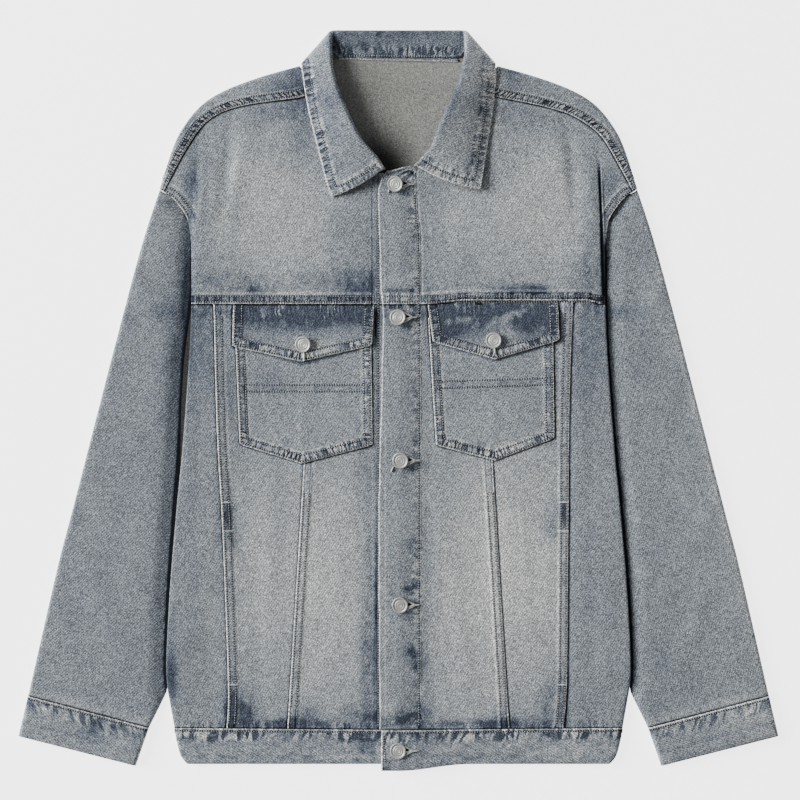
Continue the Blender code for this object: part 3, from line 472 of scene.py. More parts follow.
class JacketSettings(bpy.types.PropertyGroup):
    """Sizes and colours of the jacket's finish."""

    deep: bpy.props.FloatVectorProperty(
        name="Unwashed blue", description="Warp blue where the wash hasn't reached",
        subtype="COLOR", size=4, default=linear("#262D3D"))
    blue: bpy.props.FloatVectorProperty(
        name="Washed blue", description="Half washed warp",
        subtype="COLOR", size=4, default=linear("#5D6571"))
    grey: bpy.props.FloatVectorProperty(
        name="Washed grey", description="Warp washed to grey",
        subtype="COLOR", size=4, default=linear("#90969B"))
    pale: bpy.props.FloatVectorProperty(
        name="Worn pale", description="White weft where the warp is worn through",
        subtype="COLOR", size=4, default=linear("#CFCFCC"))
    reverse: bpy.props.FloatVectorProperty(
        name="Reverse", description="Weft side of the cloth, seen inside",
        subtype="COLOR", size=4, default=linear("#999994"))
    thread: bpy.props.FloatVectorProperty(
        name="Thread", description="Topstitching thread, washed with the cloth",
        subtype="COLOR", size=4, default=linear("#C6C9C8"))
    metal: bpy.props.FloatVectorProperty(
        name="Button metal", description="Tarnished silver of the shank buttons",
        subtype="COLOR", size=4, default=linear("#B6B6B3"))
    stitch_pitch: bpy.props.FloatProperty(
        name="Stitch pitch", description="From one topstitch to the next",
        default=2.5 * MM, unit="LENGTH")
    stitch_length: bpy.props.FloatProperty(
        name="Stitch length", description="Thread that shows in one topstitch",
        default=1.45 * MM, unit="LENGTH")
    thread_width: bpy.props.FloatProperty(
        name="Thread width", description="Width of the topstitching thread",
        default=0.9 * MM, unit="LENGTH")
    grain: bpy.props.FloatProperty(
        name="Heather size", description="Width of the washed yarns' light and dark flecks",
        default=1.7 * MM, unit="LENGTH")
    pucker: bpy.props.FloatProperty(
        name="Pucker height", description="Height of the puckers along stitched edges",
        default=0.2 * MM, unit="LENGTH")


# ---- Finishes ----

WEAVE = 0.95  # contrast of the yarns
finishes = {}


def add(tree, kind, inputs=(), out=0, **settings):
    """Add a node, set it up, fill or link its inputs, and give one of its outputs."""
    made = tree.nodes.new(kind)
    for key, value in settings.items():
        setattr(made, key, value)
    for key, value in dict(inputs).items():
        if isinstance(value, bpy.types.NodeSocket):
            tree.links.new(value, made.inputs[key])
        else:
            made.inputs[key].default_value = value
    return made.outputs[out]


def maths(tree, operation, *values):
    """What an operation makes of its values."""
    return add(tree, "ShaderNodeMath", dict(enumerate(values)), operation=operation)


def sums(tree, value, factor, onto):
    """A value times a factor, put on another value."""
    return maths(tree, "MULTIPLY_ADD", value, factor, onto)


def ranged(tree, value, low, high, at_low, at_high, soft=False):
    """A value's range turned into another range, with straight or soft ends."""
    return add(tree, "ShaderNodeMapRange", dict(enumerate((value, low, high, at_low, at_high))),
               interpolation_type="SMOOTHSTEP" if soft else "LINEAR")


def scaled(tree, vector, by):
    """A vector with each axis scaled."""
    return add(tree, "ShaderNodeVectorMath", {0: vector, 1: by}, operation="MULTIPLY")


def measured(tree, vector, axis):
    """How far a vector goes along an axis."""
    return add(tree, "ShaderNodeVectorMath", {0: vector, 1: axis}, out="Value", operation="DOT_PRODUCT")


def mottle(tree, place, scale=1.0, detail=2.0, rough=0.5, flat=False):
    """Soft noise around 0.5, through a space or over a flat sheet."""
    inputs = {"Vector": place, "Scale": scale, "Detail": detail, "Roughness": rough}
    return add(tree, "ShaderNodeTexNoise", inputs, noise_dimensions="2D" if flat else "3D")


def in_mm(tree, turn):
    """Places on the garment in mm, turned by an angle in degrees."""
    place = add(tree, "ShaderNodeTexCoord", out="Object")
    return add(tree, "ShaderNodeMapping", {"Vector": place, "Scale": (1 / MM, 1 / MM, 1 / MM),
                                           "Rotation": (0, 0, math.radians(turn))})


def tint(tree, shader, colour, tone):
    """Colour a shader, darker or lighter by a tone."""
    mixed = add(tree, "ShaderNodeMix", {0: 1.0, 6: colour, 7: tone}, out=2,
                data_type="RGBA", blend_type="MULTIPLY")
    tree.links.new(mixed, shader.inputs["Base Color"])


def emboss(tree, shader, height, strength, distance):
    """Give a shader the relief of a height."""
    bump = add(tree, "ShaderNodeBump", {"Height": height, "Strength": strength, "Distance": distance})
    tree.links.new(bump, shader.inputs["Normal"])


def finish(name, colour, roughness, metallic=0.0, sheen=0.0):
    """A new material's node tree and shader node."""
    material = bpy.data.materials.new(name)
    material.use_nodes = True
    shader = material.node_tree.nodes["Principled BSDF"]
    shader.inputs["Base Color"].default_value = colour
    shader.inputs["Roughness"].default_value = roughness
    shader.inputs["Metallic"].default_value = metallic
    shader.inputs["Sheen Weight"].default_value = sheen
    finishes[name] = material
    return material.node_tree, shader


def denim(name, warp, rows=ROWS, pitch=4.0, gain=0.2, halo=10.6, rub=0.5, band=0.05, least=0.35):
    """Stone-washed cotton twill: blue warp worn pale, patchy where seams kept the wash out,
    with painted shade beside covering edges and in the dents along the stitch rows.

    warp is the run of the warp in degrees, rows are the stitch rows' places in mm from a
    stitched edge, pitch and gain are the puckers' width and strength, halo is where the
    turning under it lifts the cloth into a worn line, rub is how worn its fold is, band
    how blue the cloth stayed from the edge to the last row, and least the puckers' share
    where they are weakest.
    """
    settings = bpy.context.scene.jacket
    tree, shader = finish(name, settings.grey, 0.88, sheen=0.05)
    shader.inputs["Specular IOR Level"].default_value = 0.25
    place = in_mm(tree, 90 - warp)
    fade, blotch, edge, cover, run, pull = (
        add(tree, "ShaderNodeAttribute", attribute_name=mark, out="Fac")
        for mark in ("fade", "blotch", "edge", "cover", "run", "pull"))

    def noise(size, stretch, detail=2.0):
        """Noise around 0 with flecks of a size in mm, longer along the warp."""
        at = scaled(tree, place, (1 / size, 1 / (size * stretch), 1 / size))
        return maths(tree, "SUBTRACT", mottle(tree, at, detail=detail, rough=0.6), 0.5)

    def bell(value, middle, width):
        """1 at a value's middle, falling to 0 at a width from it."""
        off = maths(tree, "ABSOLUTE", maths(tree, "SUBTRACT", value, middle))
        return ranged(tree, off, width * 0.25, width, 1.0, 0.0, soft=True)

    # The floats of the twill wear one by one, so that each is paler or bluer than the next
    at = scaled(tree, place, (1.8, 1.5, 1.6))
    floats = add(tree, "ShaderNodeTexVoronoi", {"Vector": at, "Scale": 1.0}, out="Color")
    yarn = ranged(tree, measured(tree, floats, (1, 0, 0)), 0.0, 1.0, -1.17 * WEAVE, 0.83 * WEAVE)
    phase = measured(tree, floats, (0, 1, 0))
    wale = measured(tree, place, (2.4, -1.5, 0))
    wale = maths(tree, "SINE", sums(tree, phase, 2.9, wale))
    yarn = sums(tree, wale, 0.36 * WEAVE, yarn)
    yarn = maths(tree, "POWER", 3.0, yarn)

    flecks, streaks, patch = noise(settings.grain / MM, 1.5), noise(1.5, 9.0), noise(6.0, 1.9, 1.6)
    total = fade
    for wave, share in ((flecks, 0.04), (streaks, 0.08), (noise(26.0, 1.3), 0.2), (patch, 0.11)):
        total = sums(tree, wave, share, total)
    patch = maths(tree, "MULTIPLY", patch, 4.0)
    total = sums(tree, patch, blotch, total)

    # Puckers: pale crests and blue hollows across the stitching, stronger in some places
    at = add(tree, "ShaderNodeCombineXYZ", {0: sums(tree, patch, 1.4, run), 1: edge})
    teeth = mottle(tree, scaled(tree, at, (1 / pitch, 0.05, 1.0)), detail=1.0, flat=True)
    teeth = ranged(tree, teeth, 0.40, 0.60, -1.0, 0.7, soft=True)
    places = mottle(tree, scaled(tree, at, (1 / 34, 0.02, 1.0)), detail=0.0, flat=True)
    places = ranged(tree, places, 0.36, 0.62, least, 1.2)
    near = ranged(tree, sums(tree, patch, 0.35, pull), 0.2, 0.8, 0.0, 1.0, soft=True)
    crest = maths(tree, "MULTIPLY", teeth, near)
    crest = maths(tree, "MULTIPLY", crest, places)
    total = sums(tree, crest, gain, total)
    total = maths(tree, "MAXIMUM", total, 0.15)

    # The fold of a lapped edge is rubbed pale, and the cloth inside its last row stays blue; beside a
    # covering edge the cloth stays bluer and is painted darker still, down to near black, as contact shade
    worn = ranged(tree, edge, 0.6, 1.8, rub, 0.0, soft=True)
    total = maths(tree, "ADD", total, worn)
    total = sums(tree, bell(edge, halo, 2.0), 0.14, total)
    for kept in (ranged(tree, edge, rows[-1] - 0.5, rows[-1] + 1.5, band, 0.0),
                 ranged(tree, cover, 0.2, 2.2, 0.5, 0.0, soft=True)):
        total = maths(tree, "SUBTRACT", total, kept)
    # Painted shade: the cloth is darker along each stitch row, in the rows' dents
    groove = 0.0
    for row in rows:
        groove = maths(tree, "MAXIMUM", bell(edge, row, 1.1), groove)
    total = sums(tree, groove, -0.18, total)

    # The darkest stop, below the unwashed blue, is painted shade, reached beside covering edges and in open
    # gaps
    ramp = tree.nodes.new("ShaderNodeValToRGB")
    stops = ((0.0, linear("#14171D")), (0.08, settings.deep), (0.28, settings.blue), (0.58, settings.grey),
             (1.0, settings.pale))
    for position, _colour in stops[1:-1]:
        ramp.color_ramp.elements.new(position)
    for element, (position, colour) in zip(ramp.color_ramp.elements, stops):
        element.position, element.color = position, colour
    tree.links.new(total, ramp.inputs[0])
    tint(tree, shader, ramp.outputs[0], yarn)

    # Relief in mm: yarns, puckers, and the dents of the stitch rows
    relief = maths(tree, "MULTIPLY", flecks, 0.12)
    relief = sums(tree, crest, 0.3, relief)
    relief = sums(tree, groove, -0.3, relief)
    emboss(tree, shader, relief, 0.8, MM)


def reverse_cloth():
    """The twill's weft side: nearly undyed cotton with a fine slant, with painted shade deep inside."""
    settings = bpy.context.scene.jacket
    tree, shader = finish("cotton_reverse", settings.reverse, 0.9, sheen=0.1)
    shader.inputs["Specular IOR Level"].default_value = 0.2
    place = in_mm(tree, 28)
    slant = mottle(tree, scaled(tree, place, (0.22, 0.8, 0.5)), detail=3.0, rough=0.65)
    both = sums(tree, slant, 1.0, mottle(tree, place, 0.55))
    tone = ranged(tree, both, 0.65, 1.35, 0.72, 1.16)
    # Painted shade: darker where the cover mark is small, deep in the neck opening
    depth = add(tree, "ShaderNodeAttribute", attribute_name="cover", out="Fac")
    tone = maths(tree, "MULTIPLY", tone, ranged(tree, depth, 4.0, 24.0, 0.16, 1.0, soft=True))
    floats = add(tree, "ShaderNodeTexVoronoi", {"Vector": place, "Scale": 1.6}, out="Color")
    yarn = ranged(tree, measured(tree, floats, (1, 0, 0)), 0.0, 1.0, 0.45, 1.5)
    tint(tree, shader, settings.reverse, maths(tree, "MULTIPLY", tone, yarn))
    emboss(tree, shader, slant, 0.5, 0.4 * MM)


def spun_thread(name, colour, roughness=0.7, low=0.6):
    """Spun polyester thread: tightly twisted, a little lighter on its crowns."""
    tree, shader = finish(name, colour, roughness, sheen=0.1)
    place = add(tree, "ShaderNodeTexCoord", out="Object")
    tint(tree, shader, colour, ranged(tree, mottle(tree, place, 180.0, 3.0), 0.3, 0.7, low, 1.15))
    emboss(tree, shader, mottle(tree, place, 2600.0, 1.0), 0.5, 0.2 * MM)


def tarnished_silver():
    """Die-struck plated brass, tumbled matt: grey in its hollows, bright on its rings."""
    settings = bpy.context.scene.jacket
    tree, shader = finish("tarnished_silver", settings.metal, 0.38, metallic=0.45)
    place = add(tree, "ShaderNodeTexCoord", out="Object")
    spots = mottle(tree, place, 420.0, 5.0, 0.65)
    tint(tree, shader, settings.metal, ranged(tree, spots, 0.35, 0.65, 0.62, 1.05))
    tree.links.new(ranged(tree, spots, 0.35, 0.65, 0.55, 0.36), shader.inputs["Roughness"])
    emboss(tree, shader, spots, 0.4, 0.15 * MM)


# ---- Making cloth ----

def size_of(grid):
    """Greatest width and length of a grid, and its area, all in metres."""
    across = np.linalg.norm(np.diff(grid, axis=1), axis=2)
    down = np.linalg.norm(np.diff(grid, axis=0), axis=2)
    first = np.cross(grid[:-1, 1:] - grid[:-1, :-1], grid[1:, :-1] - grid[:-1, :-1])
    second = np.cross(grid[1:, :-1] - grid[1:, 1:], grid[:-1, 1:] - grid[1:, 1:])
    area = (np.linalg.norm(first, axis=2).sum() + np.linalg.norm(second, axis=2).sum()) / 2
    return across.sum(1).max() * MM, down.sum(0).max() * MM, area * MM * MM


def cloth(name, grid, marks, look, nodes, wall=CLOTH, flip=False):
    """One sheet of cloth over a grid of points in mm, standing for its nodes.

    marks gives each point's fade, blotch, edge, cover, run and pull.
    """
    rows, columns = grid.shape[:2]
    index = np.arange(rows * columns).reshape(rows, columns)
    quads = np.stack([index[:-1, :-1], index[:-1, 1:], index[1:, 1:], index[1:, :-1]], -1).reshape(-1, 4)
    if flip:
        quads = quads[:, ::-1]
    mesh = bpy.data.meshes.new(name)
    mesh.from_pydata((grid.reshape(-1, 3) * MM).tolist(), [], quads.tolist())
    defaults = {"fade": 0.5, "blotch": 0.0, "edge": CLEAR, "cover": CLEAR, "run": 0.0, "pull": 0.0}
    for mark, default in defaults.items():
        values = np.broadcast_to(marks.get(mark, default), (rows, columns)).astype(np.float32)
        mesh.attributes.new(mark, "FLOAT", "POINT").data.foreach_set("value", values.ravel())
    piece = bpy.data.objects.new(name, mesh)
    bpy.context.scene.collection.objects.link(piece)
    mesh.materials.append(finishes[look])
    mesh.materials.append(finishes["cotton_reverse"])
    if np.allclose(grid[:, 0], grid[:, -1], atol=1e-4):
        weld = piece.modifiers.new("closing seam", "WELD")
        weld.merge_threshold = 0.01 * MM
    shell = piece.modifiers.new("cloth", "SOLIDIFY")
    shell.thickness = wall * MM
    shell.offset = -1.0
    shell.material_offset = 1
    mesh.shade_smooth()
    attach(piece, "root")
    if nodes:
        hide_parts(*nodes)
    width, length, area = size_of(grid)
    min(area, width * length)
    return piece


def pucker(rope, near):
    """Height of the puckers where they are near their edge."""
    return bpy.context.scene.jacket.pucker / MM * rope * near


class JacketPiece:
    """What every one of the jacket's operators shares."""

    bl_options = {"REGISTER", "UNDO"}


class JACKET_OT_finishes(JacketPiece, bpy.types.Operator):
    """Make the washed cloth, its reverse, the threads and the button metal"""

    bl_idname = "jacket.finishes"
    bl_label = "Finishes"

    def execute(self, context):
        settings = context.scene.jacket
        denim("washed_twill_body", 90, gain=0.11, band=0.02, rub=0.8)
        denim("washed_twill_yoke", 90, pitch=3.0, gain=0.2, band=0.08, rub=0.75)
        denim("washed_twill_pouch", 90, pitch=2.5, gain=0.4, band=0.08, rub=0.8, least=0.5)
        denim("washed_twill_shoulder", 90, pitch=2.5, gain=0.42, band=0.08, rub=0.85, least=0.7)
        denim("washed_twill_sleeve_left", 105)
        denim("washed_twill_sleeve_right", 75)
        denim("washed_twill_cuff_left", 15, rows=(2.6,), pitch=6.0, gain=0.22, halo=60, rub=0.75, least=0.7)
        denim("washed_twill_cuff_right", -15, rows=(2.6,), pitch=6.0, gain=0.22, halo=60, rub=0.75, least=0.7)
        denim("washed_twill_waistband", 0, rows=(2.4,), pitch=5.0, gain=0.42, halo=60, rub=0.45)
        denim("washed_twill_placket", 90, rows=(5.2,), pitch=5.0, gain=0.2, halo=60, rub=0.42)
        denim("washed_twill_collar", 60, rows=(7.8,), pitch=3.2, gain=0.27, halo=10.8, rub=0.85,
              band=0.05, least=0.6)
        denim("unwashed_twill_flap", 90, rows=FLAP_ROWS, pitch=3.0, gain=0.38, halo=60, rub=0.7)
        reverse_cloth()
        spun_thread("topstitch_thread", settings.thread)
        spun_thread("buttonhole_thread", linear("#F4F4F0"), low=0.85)
        # Painted shade: a near-black finish for the dashes in the needle holes and the strips in the
        # buttonholes' slits
        spun_thread("slit_shadow", linear("#1C2029"), 0.95)
        tarnished_silver()
        return {"FINISHED"}


# ---- Body ----

def signed_away(outline, x, y):
    """Distance outside a closed outline; inside it, below zero."""
    away, _run = from_line(np.vstack([outline, outline[:1]]), x, y)
    inside = np.zeros(np.shape(x), bool)
    for (ax, ay), (bx, by) in zip(outline, np.roll(outline, -1, 0)):
        if ay != by:
            inside ^= ((ay > y) != (by > y)) & (x < ax + (y - ay) * (bx - ax) / (by - ay))
    return np.where(inside, -away, away)


def lower_panel(name, side, inner, outer):
    """A panel between the chest seam and the waistband, lapped over its outer neighbour."""
    sign = SIDES[side]
    y = spaced(HEM_Y - HIDDEN, CHEST_Y + HIDDEN + 3, 2.0)[:, None]
    start, end = inner(y), outer(y)
    lap = BAND_WIDTH + 2.5
    shares = spaced(0, 1, 2.5 / float(np.mean(end - start)))
    band = -spaced(lap, 0, 1.0)[1:]
    share = np.concatenate([np.zeros(len(UNDER)), shares, np.ones(len(band))])
    step = np.concatenate([UNDER, -lap * shares, band])
    reach = start + share * (end - start) + step
    x = sign * reach
    to_lap, past = np.maximum(end - reach, 0), reach - start
    clear = 1 - smoothstep(-75, -62, y) * falling(82, 92, y)
    near = in_lap(to_lap)
    clear = clear * smoothstep(-1, 6, y - hem(x))
    z = front_top(x, y) + clear * (lap_rise(to_lap) + pucker(ripple(y + 0.4 * to_lap, end[0, 0]), near))
    z = z - edge_drop(0.12, to_lap) - tucked(chest(x) - y)
    middle = name.startswith("front_centre")
    z = z + (OPENING_LIFT[side] * falling(0, 8, past) if middle else -tucked(past))
    fade, blotch = paint(x, y, "front_panel")
    # Painted contact shade beside each covering edge and round the pouch and the flap, wider round the higher
    # flap
    cover = from_covers(past + 3 if middle else past, x, y)
    for corners, wide in ((POUCH_CORNERS[side], 1.0), (FLAP_CORNERS[side], 0.6)):
        cover = np.minimum(cover, signed_away(rounded_outline(corners), x, y + 0 * x) * wide)
    low, high = falling(3, 11, y - hem(x)), falling(1, 8, chest(x) - y)
    pull = np.maximum(np.maximum(0.6 * near, low), 0.8 * high)
    run = np.where(np.maximum(low, high) > 0.02, x, y)
    marks = {"fade": fade, "blotch": blotch, "edge": to_lap, "cover": cover, "run": run, "pull": pull}
    cloth(name, grid_of(x, y, z), marks, "washed_twill_body", [name], flip=sign < 0)


def side_panel(name, side):
    """The side panel, which turns under at the body's edge and meets the back panel."""
    sign = SIDES[side]
    y = spaced(HEM_Y - HIDDEN, CHEST_Y + HIDDEN + 3, 2.0)[:, None]
    edge, ramp, start = x_at(body_edge, y), ramp_line(y), x_at(side_seam[side], y)
    low = EDGE_UNDER * smoothstep(-300, -270, y)
    half = (front_top(sign * edge, y) - low) / 2
    share = spaced(0, 1, 0.055)
    past = np.concatenate([UNDER + 0 * y, share * (edge - half - start)], 1)
    top_x = start + past
    top_z = front_top(sign * top_x, y) - tucked(past)
    turn = np.radians([60, 30, 0, -30, -60, -90])
    turn_x = edge - half * (1 - np.cos(turn))
    turn_z = low + half * (1 + np.sin(turn))
    fall = np.array([0.0, 0.25, 0.5, 0.75, 1.0])
    ramp_x = ramp + 1 - 15 * fall
    ramp_z = low * falling(0, 1, fall)
    x = sign * np.concatenate([top_x, turn_x, ramp_x], 1)
    z = np.concatenate([top_z, turn_z, ramp_z], 1)
    z = z - tucked(chest(x) - y) * (np.abs(x) < edge - 1)
    fade, blotch = paint(x, y, "side_panel")
    beside = np.concatenate([past, np.full((len(y), len(turn) + len(fall)), CLEAR)], 1)
    # Painted contact shade beside the lap, wider on the wearer's left, where the lap's edge faces away from
    # the lamp
    cover = from_covers(beside * (0.7 if side == "left" else 1.3), x, y)
    pull = np.maximum(falling(3, 11, y - hem(x)), 0.8 * falling(1, 8, chest(x) - y))
    marks = {"fade": fade, "blotch": blotch, "cover": cover, "run": x, "pull": pull}
    cloth(name, grid_of(x, y, np.maximum(z, 0)), marks, "washed_twill_body", [name],
          flip=sign < 0)


def ruled(inner, outer, bottom, top, u, v):
    """A sheet of places stretched between its four edge lines."""
    lines = inner[:, None] * (1 - u) + outer[:, None] * u + bottom[None] * (1 - v) + top[None] * v
    corners = (inner[0] * (1 - u) + outer[0] * u) * (1 - v) + (inner[-1] * (1 - u) + outer[-1] * u) * v
    return lines - corners


def front_yoke(name, side):
    """A front yoke, from the chest seam up under the back yoke's lap."""
    sign = SIDES[side]
    foot, knee = CHEST_Y, ARMHOLE[3][1]
    u, v = np.concatenate([spaced(0, 0.8, 1 / 84), spaced(0.8, 1, 1 / 320)[1:]]), spaced(0, 1, 1 / 96)
    v = np.concatenate([spaced(0, 0.07, 0.0055), v[v > 0.072]])
    corner = np.array([opening(side, 228.0), 228.0])
    low_y = foot + 2 * v * (corner[1] - foot)
    neck = along(neck_seam, 2 * v - 1) + (corner - neck_seam[0]) * np.clip(2 - 2 * v, 0, 1)[:, None]
    inner = np.where((v <= 0.5)[:, None], np.stack([opening(side, low_y), low_y], -1), neck)
    arm_y = foot + 2 * v * (knee - foot)
    upper = armhole[armhole[:, 1] >= knee]
    arm = along(upper[::-1], 2 * v - 1)
    outer = np.where((v <= 0.5)[:, None], np.stack([x_at(armhole, arm_y), arm_y], -1), arm)
    bottom = np.stack([inner[0, 0] + u * (outer[0, 0] - inner[0, 0]), np.full(len(u), foot)], -1)
    top = along(shoulder_seam[side], u)
    place = ruled(inner, outer, bottom, top, u[None, :, None], v[:, None, None])
    steps = smoothstep(1.0, 0.94, u)[:, None] * np.array([1.0, 3.0])[:, None, None]
    beyond = place[-1] + sideways(top) * steps
    place = np.concatenate([place, beyond], 0)
    side_x, y = place[..., 0], place[..., 1]
    x = sign * side_x
    past_top = np.concatenate([np.zeros(len(v)), [1.0, 3.0]])[:, None]
    seam_away, _run = from_line(shoulder_seam[side], side_x, y)
    seam_away = np.where(past_top > 0, -past_top, seam_away)
    arm_away, arm_run = from_line(armhole[armhole[:, 1] >= knee - 10], side_x, y)
    arm_away = np.where(y > knee - 2, arm_away, CLEAR)
    arm_away = arm_away + 0.2 + 2.0 * smoothstep(224, 230, side_x)
    to_lap = np.minimum(y - foot, arm_away)
    run = np.where(y - foot < arm_away, side_x, arm_run)
    near = in_lap(to_lap)
    rope = ripple(run, 1.3 * sign)
    y = y + (chest(x) - CHEST_Y) * falling(foot, foot + 50, y)
    over = smoothstep(22, 32, side_x) * falling(160, 168, side_x) * falling(3, 14, to_lap)
    low = FRONT_TOP + 0.5 * falling(188, 206, y)
    z = low + (front_top(x, y) - low) * curl((x_at(body_edge, y) - side_x) / 4)
    z = z + lap_rise(to_lap) + pucker(rope, near) + 1.2 * over
    z = z - edge_drop(0.15, to_lap) - 0.5 * tucked(seam_away)
    fade, blotch = paint(x, y, "front_yoke")
    # A sharp tuck down beside the armhole, on the wearer's left only, painted darker in its fold
    tuck = hump(x, 205.5 - (y - 110) / 26 * (y > 110), 1.1 + 0.9 * smoothstep(200, 120, y))
    tuck = tuck * smoothstep(252, 218, y)
    z, fade = z - 2.0 * tuck, fade - 0.25 * tuck
    inside = side_x - opening(side, y)
    z = z + OPENING_LIFT[side] * falling(0, 8, inside) * (y < 232)
    # Painted shade: near black in the tuck and in the gap between it and the armhole, and beside the
    # shoulder's lap
    cover = np.minimum(seam_away, 2.4 - 3.4 * tuck * (y > 102))
    shade = smoothstep(0, 3, x - 203.5 + (y - 110) / 26) * smoothstep(102, 112, y) * smoothstep(166, 146, y)
    cover = np.minimum(cover, 2.4 - 3.0 * shade)
    band = falling(8, 10, y - foot) * smoothstep(1.0, 2.5, y - foot)
    marks = {"fade": fade - 0.17 * band, "blotch": blotch + 0.08 * near, "edge": to_lap, "cover": cover,
             "run": run, "pull": near * np.where(y - foot < arm_away, 1.0, 0.3)}
    cloth(name, grid_of(x, y, z), marks, "washed_twill_yoke", [name], flip=sign < 0)


class JACKET_OT_fronts(JacketPiece, bpy.types.Operator):
    """Make the fronts: two yokes, and a centre, mid and side panel on each side"""

    bl_idname = "jacket.fronts"
    bl_label = "Fronts"

    def execute(self, context):
        for side in SIDES:
            def inner(y, side=side):
                return opening(side, y)

            def outer(y, side=side):
                return x_at(side_seam[side], y)

            def middle(y):
                return x_at(v_seam, y)

            front_yoke(f"front_yoke_{side}", side)
            lower_panel(f"front_centre_{side}", side, inner, middle)
            lower_panel(f"front_mid_{side}", side, middle, outer)
            side_panel(f"front_side_{side}", side)
        return {"FINISHED"}


class JACKET_OT_back(JacketPiece, bpy.types.Operator):
    """Make the back panel, and the back yoke that wraps over the shoulders"""

    bl_idname = "jacket.back"
    bl_label = "Back"

    def execute(self, context):
        y = spaced(HEM_Y - 2, YOKE_BACK_Y - 0.4, 8.0)[:, None]
        half = np.where(y > CHEST_Y, x_at(sleeve_end, y) - BACK_INSET, ramp_line(y) - 14.4)
        x = np.linspace(-1, 1, 45) * half
        fade, blotch = paint(x, y, "back_panel")
        marks = {"fade": fade, "blotch": blotch, "cover": YOKE_BACK_Y - y}
        cloth("back_panel", grid_of(x, y, 0.0), marks, "washed_twill_body", ["back_panel"], flip=True)
        self.yoke()
        self.binding()
        return {"FINISHED"}

    def yoke(self):
        """The back part, which shows inside the neck, and a strip folded over each shoulder."""
        edge, inward, start, _reach = self.shoulder("left")
        foot = YOKE_BACK_Y + 0.4
        foot_x = x_at(sleeve_end, foot) - BACK_INSET
        neck = along(yoke_neck, np.linspace(0.02, 0.98, 40))
        turned = edge + inward * start[:, None]
        widest = turned[0, 0]
        top = np.vstack([turned * (-1, 1), neck * (-1, 1), [[0, 342]], neck[::-1], turned[::-1]])
        rise = np.concatenate([spaced(0, 0.30, 0.03), spaced(0.32, 1, 0.02)])[:, None]
        x = foot_x * top[:, 0] / widest * (1 - rise) + top[:, 0] * rise
        y = foot * (1 - rise) + top[:, 1] * rise
        side_y = foot + rise * (turned[0, 1] - foot)
        straight = foot_x + rise * (widest - foot_x)
        hollow = (x_at(sleeve_end, side_y) - BACK_INSET - straight) * (np.abs(top[:, 0]) / widest) ** 6
        x = x + np.where(rise < 1, hollow * np.sign(x), 0)
        raised = smoothstep(306, 320, y) * falling(84, 92, np.abs(x))
        z = (NECK_RAISE - 1.6) * raised + 0.35 * np.sin(x / 23 + 1) * np.sin(y / 31) * smoothstep(240, 262, y)
        fade, blotch = paint(x, y, "back_yoke")
        # Painted shade: the cover mark grows out from the deepest part of the neck, which the finish paints
        # dark
        deep = 12 * np.hypot((x + 13) / 22, (y - 230) / 30)
        marks = {"fade": fade, "blotch": blotch, "cover": deep}
        cloth("back_yoke", grid_of(x, y, np.maximum(z, 0)), marks, "washed_twill_yoke", ["back_yoke"],
              flip=True)
        for side, sign in SIDES.items():
            self.strip(side, sign)

    @staticmethod
    def shoulder(side):
        """The fold over a shoulder, the way in to its seam, where the fold ends and the seam lies."""
        share = np.linspace(1, 0, 120)
        edge = along(shoulder, share)
        inward = along(shoulder_seam[side], share) - edge
        reach = np.linalg.norm(inward, axis=1)
        return edge, inward / reach[:, None], np.minimum(SHOULDER_TOP / 2, 0.6 * (reach - 0.4)), reach - 0.4

    def binding(self):
        """The narrow tape that covers the neck seam inside."""
        x, out = spaced(-60, 60, 2.0)[None, :], np.array([0, 0.6, 1.3, 2.0, 2.8, 3.6, 5, 8, 11])[:, None]
        y = 339.4 - x / 45 + out
        z = NECK_RAISE - 0.6 + 1.6 * np.sin(np.pi * np.clip(out / 3.6, 0, 1)) + 0.15 * ripple(x, 1.0)
        marks = {"fade": 0.60, "edge": out + 0 * x}
        cloth("neck_tape", grid_of(x, y, z), marks, "washed_twill_body", [])

    def strip(self, side, sign):
        """The yoke's fold over one shoulder and its lap over the front yoke's seam."""
        edge, inward, start, reach = self.shoulder(side)
        half = SHOULDER_TOP / 2
        turn = np.radians(np.linspace(-90, 90, 9))[:, None, None]
        arc = edge + inward * start[:, None] * (1 - np.cos(turn))
        arc_z = np.broadcast_to(half * (1 + np.sin(turn[..., 0])), arc.shape[:2])
        to_lap = np.concatenate([np.linspace(1, 0, 10)[1:-1], [0]])
        end = reach + 0.3
        flat = start + (end - start) * (1 - to_lap[:, None])
        band = np.arange(11.5, -0.1, -0.8)[:, None]
        wide = flat[flat[:, 0] < reach[0] - 12]
        distance = np.concatenate([wide, np.maximum(end - band, start + 0.02 * (12 - band))], 0)
        top = edge + inward * distance[..., None]
        gap = end - distance
        run = np.broadcast_to(reach_of(edge), gap.shape)
        near = falling(BAND_WIDTH, BAND_WIDTH + 2.5, gap)
        rope = ripple(run * 1.8 + 0.2 * gap, 2.1 * sign)
        top_z = SHOULDER_TOP + BAND * near + pucker(rope, near) - edge_drop(0.1, gap)
        place = np.concatenate([arc, top], 0)
        z = np.concatenate([arc_z, top_z], 0)
        lap = np.concatenate([np.full(arc_z.shape, CLEAR), gap], 0)
        x, y = sign * place[..., 0], place[..., 1]
        fade, blotch = paint(x, y, "shoulder")
        # On the right shoulder the pale rubbed line is set further out: wear plus painted highlight on an
        # edge facing away from the lamp
        worn = lap + 2.2 * falling(3, 7, reach) - (0.8 if side == "right" else 0.1)
        marks = {"fade": fade, "blotch": blotch, "edge": worn, "run": run[0] + 0.15 * np.minimum(lap, 12),
                 "pull": falling(6.5, 9.5, lap)}
        cloth(f"shoulder_{side}", grid_of(x, y, z), marks, "washed_twill_shoulder", ["back_yoke"],
              flip=sign < 0)


# ---- Front opening and waistband ----

